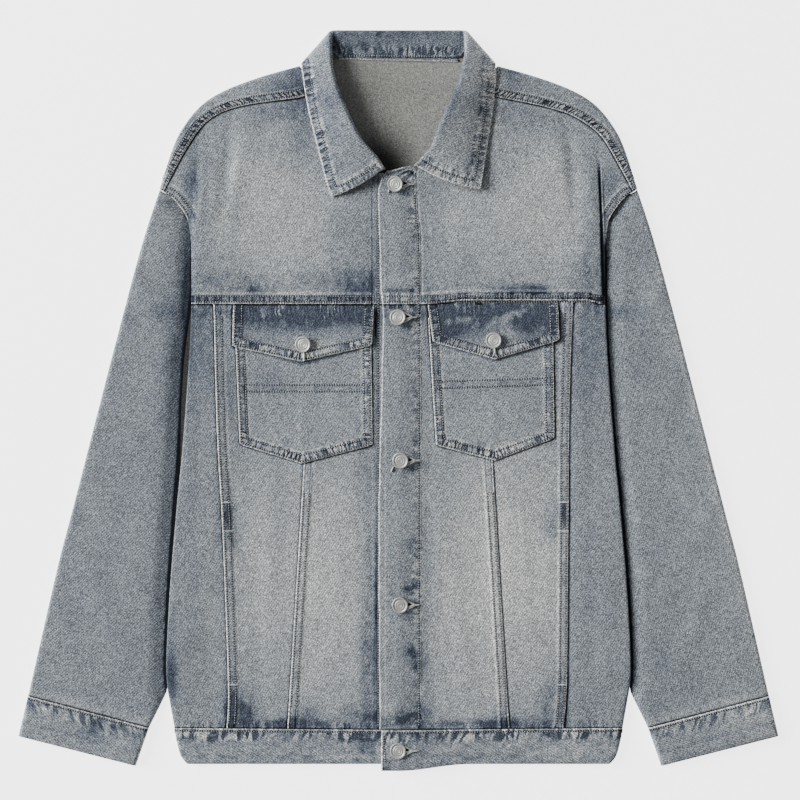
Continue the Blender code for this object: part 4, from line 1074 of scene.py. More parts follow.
PLACKET_CHEST_Y = 95.7  # the chest seam, on the placket
LAP_RIM = 1.9  # how far in from its fold a lap is rubbed


def strip_rows(top):
    """Heights of a strip's points, closer together where it crosses the chest seam."""
    return np.concatenate([spaced(HEM_Y - 1, 91, 2.0), spaced(92, 99, 0.45), spaced(100.5, top, 2.0)])


def lap_over_chest(above):
    """Height of the twice stitched lap where a strip's upper length crosses the chest seam."""
    return BAND * smoothstep(-0.4, 0.4, above) * falling(BAND_WIDTH, BAND_WIDTH + 4, above)


def with_rim(edge, above):
    """Distance from an edge, or from the fold of the lap over the chest seam."""
    return np.where((above > 0) & (above < LAP_RIM), np.minimum(edge, 0.2 + above), edge)


class JACKET_OT_opening(JacketPiece, bpy.types.Operator):
    """Make the button stand and the buttonhole placket that laps over it"""

    bl_idname = "jacket.opening"
    bl_label = "Placket"

    def execute(self, context):
        y = strip_rows(227)[:, None]
        x = np.concatenate([STAND_EDGE + np.array([0, 0.6, 1.5, 3.0]), spaced(-20, 14, 4.0)]) + 0 * y
        above = y - CHEST_Y + 0 * x
        z = STAND_TOP + 0.15 * ripple(y, 4.0) * falling(-20, -14, x)
        z = z + lap_over_chest(above) * falling(-19.5, -18, x)
        fade, blotch = paint(x, y, "button_stand")
        fade = fade - 0.16 * smoothstep(0, 2, above) * falling(9, 13, above)
        # Painted shadow of the right flap on the stand beside it, and painted shade just below the chest lap
        painted_flap_shadow = np.exp(-((x + 22.8) / 3.4) ** 2 - ((y - 73) / 18) ** 4)
        cover = np.minimum(np.where(above < 0, -above, CLEAR), 0.5 + 9 * (1 - painted_flap_shadow))
        marks = {"fade": fade - 0.2 * painted_flap_shadow, "blotch": blotch + 0.04,
                 "edge": with_rim(2.4 + 0.5 * (x - STAND_EDGE), above), "cover": cover}
        cloth("button_stand", grid_of(x, y, z), marks, "washed_twill_placket",
              ["button_stand"])
        self.placket()
        return {"FINISHED"}

    def placket(self):
        """The strip with the buttonholes, rounded at its top and gathered at its right edge's row."""
        y = np.concatenate([strip_rows(205), spaced(206, 229, 0.8)])[:, None]
        corner = np.array(PLACKET_CORNER)
        left = np.where(y < corner[0, 0], x_at(placket_left, y), np.interp(y, corner[:, 0], corner[:, 1]))
        left = left + 0.35 * np.sin(y / 7.3) * np.sin(y / 19)
        right = x_at(placket_right, y)
        share = np.concatenate([[0, 0.015, 0.04], spaced(0.07, 0.93, 0.032), [0.95, 0.97, 0.985, 1]])
        x = left + share * (right - left)
        top = smoothstep(212, 229, y)
        rise = top * (4.5 * smoothstep(left, 11.5, x) - 2 * smoothstep(11.5, right, x))
        to_left, to_right = x - left, right - x
        slope = np.clip((x - 1) / 20, 0, 1)
        rope = ripple(y * 0.8 + 0.5 * np.sin(x / 4), 5.2)
        near = falling(5, 16, to_right)
        above = y - PLACKET_CHEST_Y - 0.01 * (x + 16)
        crinkle = bumps(PLACKET_FOLDS, x, y + rise)
        pulled = [(button[0] + 11.5, button[1], 0, 6, 4, 1.1) for button in FRONT_BUTTONS[1:-1]]
        z = PLACKET_TOP + (PLACKET_EDGE_TOP - PLACKET_TOP) * slope + pucker(rope, near)
        z = z - edge_drop(0.7, to_left, 1.4) - edge_drop(0.25, to_right, 1.0) + bumps(pulled, x, y)
        z = z + 0.25 * np.sin(y / 21 + 1) * np.sin(x / 9) + crinkle + lap_over_chest(above)

        # Bluer and painted darker, as shade, just below the lap; blue in the gathers above its rows; pale on
        # its fold;
        # the crinkles' crests paler and hollows darker, partly wear and partly painted light and shade
        fade, blotch = paint(x, y, "placket")
        fade = fade + 0.3 * crinkle + 0.08 * smoothstep(0, 2, above) * falling(11, 13, above)
        gathered = hump(above, 13.6, 1.5) * smoothstep(-18, -12, x) * (0.7 + 0.3 * smoothstep(-8, -2, x))
        fade = fade - 0.42 * gathered - 0.12 * hump(above, -2.4, 1.8) + 0.35 * hump(above, 0.8, 0.6)
        fade = fade + 0.2 * hump(to_right, 1.4, 0.8)
        crossing = smoothstep(-7, -2, above) * falling(10, 13, above)
        run = np.where((above > -7) & (above < 18), 1.3 * x, y)
        edge = np.minimum(np.where(to_left < 2.2, to_left, 0.3 + 1.63 * to_right), 229.4 - y)
        marks = {"fade": fade, "blotch": blotch + 0.10 * near + 0.3 * gathered, "run": run,
                 "edge": with_rim(edge, above), "cover": np.where(above < 0, -above, CLEAR),
                 "pull": np.maximum(0.8 * near, crossing)}
        cloth("placket", grid_of(x, y + rise, z), marks, "washed_twill_placket", ["placket"],
              wall=DOUBLE)


LAP_END = -17.2  # x of the waistband's end on the placket
BEND_X = 190  # from there out its columns follow the slanted sides


class JACKET_OT_waistband(JacketPiece, bpy.types.Operator):
    """Make the waistband: one folded strip round the hem whose ends lap at the button"""

    bl_idname = "jacket.waistband"
    bl_label = "Waistband"

    def execute(self, context):
        share = spaced(1, 0, 1 / 26)[:, None]
        y = HEM_Y + share * (WAIST_BOTTOM_Y - HEM_Y)
        width, half = x_at(waist_half, y), WAIST_TOP / 2
        turn = np.radians(np.linspace(75, -90, 9))

        under_x, back_x = spaced(14, -BEND_X, 2.2), spaced(-180, 180, 12.0)
        front_x, lap_x = spaced(BEND_X, 22, 2.2), np.concatenate([spaced(18, -15.6, 1.9), [-16.6, LAP_END]])
        outer = BEND_X + spaced(0, 1, 0.085)[1:] * (width - half - BEND_X)
        climb = (WAIST_LAP_TOP - WAIST_TOP) * np.clip((95 - front_x) / 77, 0, 1)
        blocks = [
            (under_x + 0 * y, np.full((len(y), len(under_x)), WAIST_TOP)),
            (-outer, np.full(outer.shape, WAIST_TOP)),
            (-(width - half * (1 - np.cos(turn))), half * (1 + np.sin(turn)) + 0 * y),
            (back_x + 0 * y, np.zeros((len(y), len(back_x)))),
            (width - half * (1 - np.cos(turn[::-1])), half * (1 + np.sin(turn[::-1])) + 0 * y),
            (outer[:, ::-1], np.full(outer.shape, WAIST_TOP)),
            (front_x + 0 * y, WAIST_TOP + climb + 0 * y),
            (lap_x + 0 * y, np.full((len(y), len(lap_x)), WAIST_LAP_TOP)),
        ]
        x = np.concatenate([block[0] for block in blocks], 1)
        z = np.concatenate([block[1] for block in blocks], 1)
        column = np.arange(x.shape[1])
        over = column >= x.shape[1] - len(lap_x) - len(front_x)
        droop = np.where(over, FRONT_DROOP * falling(0, 70, x), 0.0)
        from_top = HEM_Y - y + 0 * x
        rope = ripple(x * 0.85 + 0.4 * np.sin(from_top / 5), 3.0)
        near = falling(8, 17, from_top) * (z > WAIST_TOP - 0.5)
        z = z + 1.2 * pucker(rope, near) - edge_drop(0.5, from_top, 1.4) * (z > WAIST_TOP - 1)
        end = np.where(column >= x.shape[1] - len(lap_x), np.maximum(x - LAP_END, 0), CLEAR)
        z = z - edge_drop(0.8, end, 1.8) - edge_drop(0.4, 36 - from_top, 1.5) * (z > 5)
        place_y = y - share * droop + (hem(x) - HEM_Y) * (1 - share)
        fade, _blotch = paint(x, place_y, "waistband")
        seam = falling(5, 17, from_top)
        mottled = 0.18 * smoothstep(12, 20, from_top)
        edge = np.minimum(from_top, end * 1.1)
        marks = {"fade": fade - 0.06 * seam - 0.05, "blotch": 0.28 * seam + mottled, "edge": edge,
                 "run": x + 0.25 * from_top, "pull": falling(2, 22, from_top)}
        cloth("waistband", grid_of(x, place_y, np.maximum(z, 0)), marks, "washed_twill_waistband",
              ["waistband"], wall=DOUBLE, flip=True)
        return {"FINISHED"}


# ---- Pockets ----

FLAP_WALL = 2.0
FLAP_ROWS, POUCH_ROWS = (2.0, 8.5), (2.0, 8.2)  # stitched round them, from their edges
# Rows across a pouch, mm: height of the upper one at its inner end, and how much its outer end is higher
CROSS_ROWS = {"left": (18.0, 4.0), "right": (15.1, 0.0)}
CROSS_GAUGE = 6.6  # from the upper row down to the lower one


def rounded_outline(corners, radius=3.0):
    """A pocket's sides and foot as a line with its corners rounded."""
    points = [np.array(corner, float) for corner in corners]
    line = [points[0]]
    for a, b, c in zip(points, points[1:], points[2:]):
        before = b + (a - b) / np.linalg.norm(a - b) * radius
        after = b + (c - b) / np.linalg.norm(c - b) * radius
        line += [(1 - t) ** 2 * before + 2 * t * (1 - t) * b + t * t * after for t in np.linspace(0, 1, 5)]
    return np.array([*line, points[-1]])


def pocket_leaf(corners, top, piece, rounding):
    """A pocket piece with a straight top and a pointed foot, lying on the front."""
    outer_top, outer_foot, tip, inner_foot, inner_top = (np.array(corner, float) for corner in corners)
    outline = rounded_outline(corners, rounding)
    across, down = np.linalg.norm(outer_top - inner_top), np.linalg.norm(outer_top - outer_foot)
    u = np.sort(np.concatenate([spaced(0, 1, 1.6 / across), [0.004, 0.996]]))
    v = spaced(0, 1, 1.6 / (down + 10))[:, None]
    head = outer_top * (1 - u[:, None]) + inner_top * u[:, None]
    foot = np.where((u <= 0.5)[:, None], outer_foot + (tip - outer_foot) * 2 * u[:, None],
                    tip + (inner_foot - tip) * (2 * u[:, None] - 1))
    share = np.minimum(u, 1 - u)
    pull = 1.1 * rounding / 3 * hump(share * across, 0, rounding)
    foot = foot + (head - foot) / np.linalg.norm(head - foot, axis=1)[:, None] * pull[:, None]
    place = head[None] * (1 - v[..., None]) + foot[None] * v[..., None]
    x, y = place[..., 0], place[..., 1]
    to_edge, run = from_line(outline, x, y)
    near = falling(8, 12, to_edge)
    rope = ripple(run + 0.3 * to_edge, outer_top[0])
    z = front_top(x, y) + top(y) + pucker(rope, near) - edge_drop(0.25, to_edge)
    z = z + 0.35 * near * smoothstep(9.5, 6, to_edge)
    return x, y, z, to_edge, near, run, *paint(x, y, piece)


class JACKET_OT_pockets(JacketPiece, bpy.types.Operator):
    """Make the chest pockets: a pouch and a pointed flap on each side"""

    bl_idname = "jacket.pockets"
    bl_label = "Pockets"

    def execute(self, context):
        for side, sign in SIDES.items():
            self.pouch(side, sign)
            self.flap(side, sign)
        return {"FINISHED"}

    @staticmethod
    def pouch(side, sign):
        """A pouch, raised between its crosswise rows, with painted shade just below its flap's edge."""
        x, y, z, to_edge, near, run, fade, blotch = pocket_leaf(
            POUCH_CORNERS[side], lambda y: POUCH_TOP, "pouch", 3.0)
        level, rise = CROSS_ROWS[side]
        welt = hump(y, level + rise * (x - 37) / 116 - 3.2, 4.0)
        low = 38 if side == "left" else 34
        below = low + np.abs(x - FLAP_CORNERS[side][2][0]) * 0.29 - y
        marks = {"fade": fade + 0.02 - 0.08 * welt, "blotch": blotch + 0.16 * near + 0.14 * welt,
                 "edge": to_edge, "cover": np.maximum(below, 0) + 1.2, "run": run,
                 "pull": (0.45 + 0.75 * smoothstep(-28, -42, y)) * near}
        cloth(f"pocket_{side}", grid_of(x, y, z + 0.3 * welt), marks, "washed_twill_pouch",
              [f"pocket_{side}"], flip=sign < 0)

    @staticmethod
    def flap(side, sign):
        """A flap, bluest under the chest seam, where its head goes in below the yoke, with painted shade just
        below the yoke's lap.
        """
        x, y, z, to_edge, near, run, fade, blotch = pocket_leaf(
            FLAP_CORNERS[side], lambda y: FLAP_TOP - 3.0 * smoothstep(84, 97, y), "flap", 2.2)
        top = smoothstep(60, 88, y)
        low_centre = hump(y, 68, 9) * smoothstep(10, 18, to_edge)
        gathered = smoothstep(17, 9, chest(x) - y) * smoothstep(9, 12, to_edge)
        run = np.where(to_edge > 9.5, x + 0.15 * y, run)
        fade = fade + 0.08 - (0.31 if side == "left" else 0.34) * top + 0.08 * low_centre + 0.04 * near
        marks = {"fade": fade, "blotch": blotch * 0.5 + 0.22 * top + 0.06 * near, "edge": to_edge,
                 "cover": chest(x) - y, "run": run, "pull": np.maximum(near, gathered)}
        cloth(f"pocket_flap_{side}", grid_of(x, y, z), marks, "unwashed_twill_flap",
              [f"pocket_flap_{side}"], wall=FLAP_WALL, flip=sign < 0)


# ---- Sleeves ----

# Open shadow beside the body's edge, mm: height, width at the right sleeve and at the left one
EDGE_GAPS = ((180, 0.6, 0.8), (110, 1.6, 1.4), (80, 5, 1.8), (40, 8.5, 2.0), (0, 8, 2.2), (-60, 6, 2.6),
             (-120, 4.6, 3.0), (-200, 3.6, 3.4), (-280, 2.6, 2.6), (-310, 0.5, 0.5))


def tube(sign, rows, inner, outer, bend, top, top_step):
    """A flattened tube between two lines, closed round, as a grid of points."""
    width = float(np.mean(np.linalg.norm(outer - inner, axis=1)))
    turn = np.radians(np.linspace(-90, 90, 9))
    length = np.linalg.norm(outer - inner, axis=1)[:, None]
    low = top(sign * inner[:, :1], inner[:, 1:2]) / 2 / length
    high = 1 - top(sign * outer[:, :1], outer[:, 1:2]) / 2 / length
    under, over = np.linspace(0.03, 0.97, 16), spaced(0.99, 0.01, top_step / width)
    blocks = [("bottom", under), ("outer", turn), ("top", over), ("inner", turn[::-1])]
    places, heights = [], []
    for kind, values in blocks:
        if kind in ("top", "bottom"):
            share = low + (high - low) * values
        else:
            share = 1 - (1 - high) * (1 - np.cos(values)) if kind == "outer" else low * (1 - np.cos(values))
            radius = (1 - high if kind == "outer" else low) * length
        place = inner[:, None] * (1 - share[..., None]) + outer[:, None] * share[..., None]
        place = place + bend(share) * (1 - rows)[:, None, None]
        if kind == "bottom":
            height = np.zeros(share.shape)
        elif kind == "top":
            height = top(sign * place[..., 0], place[..., 1])
        else:
            height = radius * (1 + np.sin(values))
        places.append(place)
        heights.append(height)
    place = np.concatenate(places, 1)
    height = np.concatenate(heights, 1)
    grid = np.stack([sign * place[..., 0], place[..., 1], np.maximum(height, 0)], -1)
    return np.concatenate([grid, grid[:, :1]], 1)


class JACKET_OT_sleeves(JacketPiece, bpy.types.Operator):
    """Make the sleeves, laid flat with their inner edge under the body, and their cuffs"""

    bl_idname = "jacket.sleeves"
    bl_label = "Sleeves"

    def execute(self, context):
        rows = spaced(0, 1, 1 / 190)
        end_line = sleeve_end[::-1]
        low, high = end_line[0], end_line[-1]

        def bend(share):
            """How far the sleeve's end curves away from a straight line."""
            straight = low + (high - low) * share[..., None]
            hide = 4.0 * smoothstep(0.35, 0.6, share) * falling(0.8, 0.97, share)
            inward = np.stack([0.25 - 0.8 * hide, -0.5 + 0.55 * hide], -1)
            return along(end_line, share) - straight + inward

        cuff_outer, cuff_inner = np.array(CUFF_EDGE)
        gaps = np.array(EDGE_GAPS)[::-1]
        for side, sign in SIDES.items():
            column, sag = (2, 0.0) if side == "left" else (1, 1.5)

            def shadow(y, column=column):
                """Width of the open shadow beside the body's edge."""
                return np.interp(y, gaps[:, 0], gaps[:, column])

            def out_of_body(x, y):
                """Distance out from the body's edge."""
                cover = np.where(y > SLEEVE_END[3][1], x_at(sleeve_end, y), x_at(body_edge, y))
                return np.abs(x) - cover

            def top(x, y):
                """Height of the sleeve's upper side."""
                out = out_of_body(x, y)
                dip = (1.5 + 0.15 * shadow(y)) * falling(0, 14 + 1.2 * shadow(y), out)
                dip = dip + sag * (1 + 0.9 * hump(y, 20, 80)) * np.clip(1 - out / 32, 0, 1) ** 2
                soft = bumps(FOLDS, x, y) + bumps(CREASES, x, y)
                height = SLEEVE_UNDER + (SLEEVE_TOP - SLEEVE_UNDER) * smoothstep(0, 22, out)
                return height - dip * (y < 200) + soft * smoothstep(8, 40, out)

            inner, outer = along(sleeve_inner, rows), along(sleeve_outer, rows)
            grid = tube(sign, rows, inner, outer, bend, top, 3.0)
            x, y = grid[..., 0], grid[..., 1]
            out = out_of_body(x, y)
            fade, blotch = paint(x, y, "sleeve")
            cuff_line = np.array([sleeve_inner[-1], sleeve_outer[-1]])
            to_cuff, _run = from_line(cuff_line, np.abs(x), y)
            wide = shadow(y)
            # Painted shadow: near black in the open gap beside the body's edge, with painted contact shade
            # beside it
            fade = fade - 0.7 * falling(0.3 * wide, 1.1 * wide + 1, out) * (y < 185)
            fade = fade + 0.14 * hump(to_cuff, 5, 4)
            beside = np.where(y < 208, np.maximum(out, 0) * 2.0 / (wide + 1.0), CLEAR)
            marks = {"fade": fade, "blotch": blotch, "cover": np.minimum(beside, to_cuff)}
            cloth(f"sleeve_{side}", grid, marks, f"washed_twill_sleeve_{side}", [f"sleeve_{side}"],
                  flip=sign < 0)
            self.cuff(side, sign, cuff_inner, cuff_outer)
        return {"FINISHED"}

    def cuff(self, side, sign, cuff_inner, cuff_outer):
        """A cuff, its top edge lapped over the sleeve's end and puckered along its stitching."""
        rows = spaced(0, 1, 1 / 26)
        start_in, start_out = sleeve_inner[-1], sleeve_outer[-1]
        inner = start_in + (cuff_inner - start_in) * rows[:, None]
        outer = start_out + (cuff_outer - start_out) * rows[:, None]
        line = np.array([start_in, start_out])

        def top(x, y):
            """Height of the cuff's upper side."""
            away, run = from_line(line, np.abs(x), y)
            near = falling(9, 17, away)
            ropes = pucker(ripple(run * 0.85 + 0.3 * np.sin(away / 4), 6.0 * sign), near)
            return CUFF_TOP + 1.2 * ropes - edge_drop(0.5, away, 1.4) - edge_drop(0.6, 38 - away, 1.6)

        grid = tube(sign, rows, inner, outer, lambda share: np.zeros((*share.shape, 2)), top, 2.0)
        x, y = grid[..., 0], grid[..., 1]
        away, run = from_line(line, np.abs(x), y)
        fade, blotch = paint(x, y, "cuff")
        seam = falling(6, 16, away)
        turned = hump(away, 26, 1.5)
        marks = {"fade": fade - 0.04 * seam - 0.10 * turned, "blotch": blotch + 0.10 * seam + 0.05,
                 "edge": away, "run": run + 0.4 * away, "pull": falling(4, 22, away)}
        cloth(f"cuff_{side}", grid, marks, f"washed_twill_cuff_{side}", [f"cuff_{side}"], wall=DOUBLE,
              flip=sign < 0)


# ---- Collar ----

# Rows of points: up from the neck seam, then round the roll, then out over the fall
NECK_STEPS, ROLL_STEPS = 12, 11
CREST_ROW, LEAF_ROW = NECK_STEPS + ROLL_STEPS // 2, NECK_STEPS + ROLL_STEPS - 1
COLLAR_WALL = 1.8


class JACKET_OT_collar(JacketPiece, bpy.types.Operator):
    """Make the collar: its stand, the roll and the pointed fall, in one sheet"""

    bl_idname = "jacket.collar"
    bl_label = "Collar"

    def execute(self, context):
        mirror = np.ones(11)
        mirror[[0, 3, 8]] = -1
        right = [np.array(row) * mirror for row in COLLAR_FRONT["right"] + COLLAR_BACK]
        left = [np.array(row) for row in COLLAR_FRONT["left"] + COLLAR_BACK[:-1]]
        stations = smooth([*right, *left[::-1]], 12)
        reach = reach_of(stations[:, :3])
        at = spaced(0, reach[-1], 2.0)
        stations = np.stack([np.interp(at, reach, stations[:, k]) for k in range(11)], -1)
        roll, edge, neck = stations[:, 0:3], stations[:, 3:6], stations[:, 8:11]
        fall = (edge - roll) * (1, 1, 0)
        fall = fall / np.linalg.norm(fall, axis=1)[:, None]
        side = np.sign(stations[:, 0:1] + 1e-6)
        out = np.stack([-fall[:, 1], fall[:, 0], 0 * fall[:, 0]], -1) * side
        turn = np.radians(stations[:, 6:7])
        face = out * np.cos(turn) + np.array([0, 0, 1.0]) * np.sin(turn)
        middle = roll + fall * ROLL_RADIUS
        flat_top = middle - face * ROLL_RADIUS
        rows = []
        for share in spaced(0, 1, 1 / NECK_STEPS)[:-1]:
            rows.append(neck + (flat_top - neck) * share)
        for angle in np.radians(np.linspace(-90, 90, ROLL_STEPS)):
            rows.append(middle - fall * ROLL_RADIUS * np.cos(angle) + face * ROLL_RADIUS * np.sin(angle))
        for share in np.concatenate([spaced(0, 0.94, 1 / 20)[1:], [0.965, 0.985, 1.0]]):
            point = (middle + face * ROLL_RADIUS) * (1 - share) + edge * share
            point = point - np.array([0, 1, 0]) * stations[:, 7:8] * math.sin(math.pi * share)
            crown = 1.6 * math.sin(math.pi * min(1.0, share * 1.05)) * np.clip(np.sin(turn), 0, 1)
            rows.append(point + face * crown)
        grid = np.stack(rows, 0)
        number = np.arange(len(grid))[:, None]
        leaf = number >= LEAF_ROW
        upright = np.flatnonzero(turn[:, 0] > 0.7)
        split = np.flatnonzero(np.diff(upright) > 1)[0] + 1
        away, run = np.full(grid.shape[:2], 1e9), np.zeros(grid.shape[:2])
        for columns, end in ((upright[:split], 0), (upright[split:][::-1], -1)):
            outline = np.vstack([grid[LEAF_ROW:, end], grid[-1, columns]])
            gap, reach = from_line(outline, grid[..., 0], grid[..., 1])
            nearer = (gap < away) & (np.sign(grid[..., 0]) == np.sign(outline[0, 0]))
            away, run = np.where(nearer, gap, away), np.where(nearer, reach, run)
        neck_away = np.linalg.norm(grid - grid[:1], axis=2)
        to_edge = np.where(leaf, away, neck_away + 9.5)
        run = np.where(leaf, run, at * 0.7 + 0 * neck_away)
        rope = ripple(run * 0.8 + 0.5 * np.sin(to_edge / 5), 7.5)
        near = np.where(leaf, falling(9, 15, to_edge), falling(15, 26, to_edge))
        lift = 1.3 * pucker(rope, near) - edge_drop(0.2, to_edge)
        grid = grid + np.where(leaf, lift, 0)[..., None] * face

        # Painted light and shade: the fall on the wearer's left is painted lighter, and its roll, which faces
        # the lamp, painted darker; the stand is darker, the right fall paler in from its edge, the left fall
        # blue inside its row
        x, y = grid[..., 0], grid[..., 1]
        fade, blotch = paint(x, y, "collar")
        fade = fade + np.where(number >= CREST_ROW, np.where(x > 0, 0.16, 0.01), -0.14)
        fade = fade + 0.10 * near * leaf * (x < 0) * smoothstep(4, 7, to_edge)
        fade = fade - 0.2 * hump(number, CREST_ROW + 1, 3.5) * (x > 0) * smoothstep(350, 335, y)
        band = hump(to_edge, 11.5, 3.5) * leaf * (x > 0)
        marks = {"fade": fade - 0.08 * band, "blotch": blotch + 0.08 * near + 0.2 * band, "edge": to_edge,
                 "run": run, "pull": np.maximum(near, band)}
        rise = np.clip((number - LEAF_ROW) / (len(grid) - LEAF_ROW - 1), 0, 1) * (x > 0)
        grid[..., 2] += 2.0 * rise * smoothstep(0, 60, x) * smoothstep(250, 215, y)
        cloth("collar", grid, marks, "washed_twill_collar", ["collar", "collar_stand"], wall=COLLAR_WALL)
        return {"FINISHED"}


# ---- Buttons ----

# Columns: x, y, and how far the button leans to its left and to its foot, in degrees
FRONT_BUTTONS = ((-3.4, 215.5, 16, 5), (-0.8, 82.5, 11, -3), (1.9, -60.6, 11, 3), (1.5, -204.9, 9, 2),
                 (-0.5, -350.2, 10, -3))
POCKET_BUTTONS = {"left": (94.9, 59.5, 14, 0), "right": (-95.3, 55.4, 14, 4)}
BUTTON_RADIUS = 8.1
# Rings of the struck face, from its rim in, mm: inset, rise
BUTTON_RINGS = ((0.35, 0.3), (0.55, 0.15), (0.65, -0.15), (0.45, -0.45), (1.3, 0.0), (0.35, 0.3), (0.45, 0.0),
                (0.35, -0.22), (1.0, 0.0), (0.3, 0.2), (0.5, 0.0), (0.3, -0.2), (0.5, 0.0))
BUTTON_BACK = ((0.8, 0.25), (4.8, 0.1))  # the same of its underside, in to the shank
BUTTON_RIM, BUTTON_LEVEL, SHANK = 0.9, 2.9, 2.2  # thickness of the rim, its height, length of the shank
BUTTON_SEAT, LEAN_RISE = 2.8, 0.07  # how deep a button sits, and how much less for each degree it leans


class JACKET_OT_buttons(JacketPiece, bpy.types.Operator):
    """Model a struck shank button and set a copy of it on each button's place"""

    bl_idname = "jacket.buttons"
    bl_label = "Buttons"

    def execute(self, context):
        bpy.ops.object.select_all(action="DESELECT")
        bpy.ops.mesh.primitive_cylinder_add(vertices=48, radius=BUTTON_RADIUS * MM, depth=BUTTON_RIM * MM,
                                            location=(0, 0, BUTTON_LEVEL * MM))
        model = context.active_object
        bpy.ops.object.transform_apply(location=True, rotation=True, scale=True)
        self.keep(model, lambda face: face.normal.z > 0.9)
        bpy.ops.object.mode_set(mode="EDIT")
        for inset, rise in BUTTON_RINGS:
            bpy.ops.mesh.inset(thickness=inset * MM, depth=rise * MM)
        bpy.ops.object.mode_set(mode="OBJECT")
        self.keep(model, lambda face: face.normal.z < -0.9)
        bpy.ops.object.mode_set(mode="EDIT")
        for inset, rise in BUTTON_BACK:
            bpy.ops.mesh.inset(thickness=inset * MM, depth=rise * MM)
        bpy.ops.mesh.extrude_region_move(TRANSFORM_OT_translate={"value": (0, 0, -SHANK * MM)})
        bpy.ops.object.mode_set(mode="OBJECT")
        bpy.ops.object.shade_smooth_by_angle(angle=math.radians(50))
        model.data.materials.append(finishes["tarnished_silver"])
        places = {f"button_{i}": place for i, place in enumerate(FRONT_BUTTONS, start=1)}
        places |= {f"pocket_button_{side}": place for side, place in POCKET_BUTTONS.items()}
        for name, place in places.items():
            piece = bpy.data.objects.new(f"{name}_struck", model.data.copy())
            context.scene.collection.objects.link(piece)
            low = BUTTON_SEAT - LEAN_RISE * (abs(place[2]) + abs(place[3]))
            piece.data.transform(self.leaning(*place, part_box(name)[0].z - low * MM))
            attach(piece, "root")
            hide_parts(name)
        bpy.data.objects.remove(model)
        return {"FINISHED"}

    @staticmethod
    def keep(model, wanted):
        """Select only the faces that pass a test."""
        bpy.ops.object.mode_set(mode="EDIT")
        bpy.ops.mesh.select_all(action="DESELECT")
        bpy.ops.object.mode_set(mode="OBJECT")
        for face in model.data.polygons:
            face.select = wanted(face)

    @staticmethod
    def leaning(x, y, to_left, to_foot, base):
        """Place of a button that leans on its cloth, each turned its own way."""
        lift = Matrix.Translation(Vector((x * MM, y * MM, base)))
        pivot = Matrix.Translation(Vector((0, 0, 3 * MM)))
        lean = Euler((math.radians(to_foot), -math.radians(to_left), math.radians(x + y)), "ZXY")
        return lift @ pivot @ lean.to_matrix().to_4x4() @ pivot.inverted()


# ---- Stitching ----

# Places of the rows, mm
CHEST_ROW_START = 18.8  # on the right front, beside the stand
ARMHOLE_ROWS = (-7.0, -2.0)  # from the armhole's top, inwards
V_ROW_TOP = -66.0  # where the slanted seam comes out under the pouch
POUCH_ROW_TOP = 60.0  # where the pouch goes in under its flap
PLACKET_ROW = 3.0  # in from the placket's right edge
STAND_ROW_X = -20.3
WAIST_ROW = 2.5  # down from the waistband's seam
CUFF_ROW = 2.3  # down from the cuff's seam
COLLAR_ROW = 8.0  # in from the fall's outer edge
COLLAR_FRONT_ROW = 7.5  # up from its front edge
TACK_LEVELS = (-102.0, -131.0, -284.5)
TACK_STITCHES, TACK_PITCH = 10, 0.95
# How far right of a button's middle its opened buttonhole comes together, and where it ends, mm
HOLE_MEETS, HOLE_ENDS = 14.0, 18.8

# A stitch across, lengthwise and up, as shares of its length, width and thickness
STITCH_POINTS = np.array([(-0.5, 0, -0.2), *((x, y, z) for x in (-0.3, 0.3) for y, z in
                                            ((-0.5, 0.0), (0, 0.85), (0.5, 0.0), (0, -0.5))), (0.5, 0, -0.2)])
STITCH_FACES = ([(0, 1 + (k + 1) % 4, 1 + k) for k in range(4)]
                + [(1 + k, 1 + (k + 1) % 4, 5 + (k + 1) % 4, 5 + k) for k in range(4)]
                + [(9, 5 + k, 5 + (k + 1) % 4) for k in range(4)])


def cloth_surface():
    """A tree of all the cloth made so far, to drop threads on."""
    depsgraph = bpy.context.evaluated_depsgraph_get()
    points, faces = [], []
    for piece in [o for o in bpy.data.objects if o.type == "MESH" and "fade" in o.data.attributes]:
        mesh = piece.evaluated_get(depsgraph).to_mesh()
        co = np.empty(len(mesh.vertices) * 3, np.float32)
        mesh.vertices.foreach_get("co", co)
        faces += [[len(points) + i for i in face.vertices] for face in mesh.polygons]
        points += co.reshape(-1, 3).tolist()
    return BVHTree.FromPolygons(points, faces)


def height_on(surface, x, y):
    """Height of the cloth at a place, in mm, or nan beside it."""
    hit = surface.ray_cast(Vector((x, y, 40)) * MM, Vector((0, 0, -1)))
    return hit[0].z / MM if hit[0] is not None else np.nan


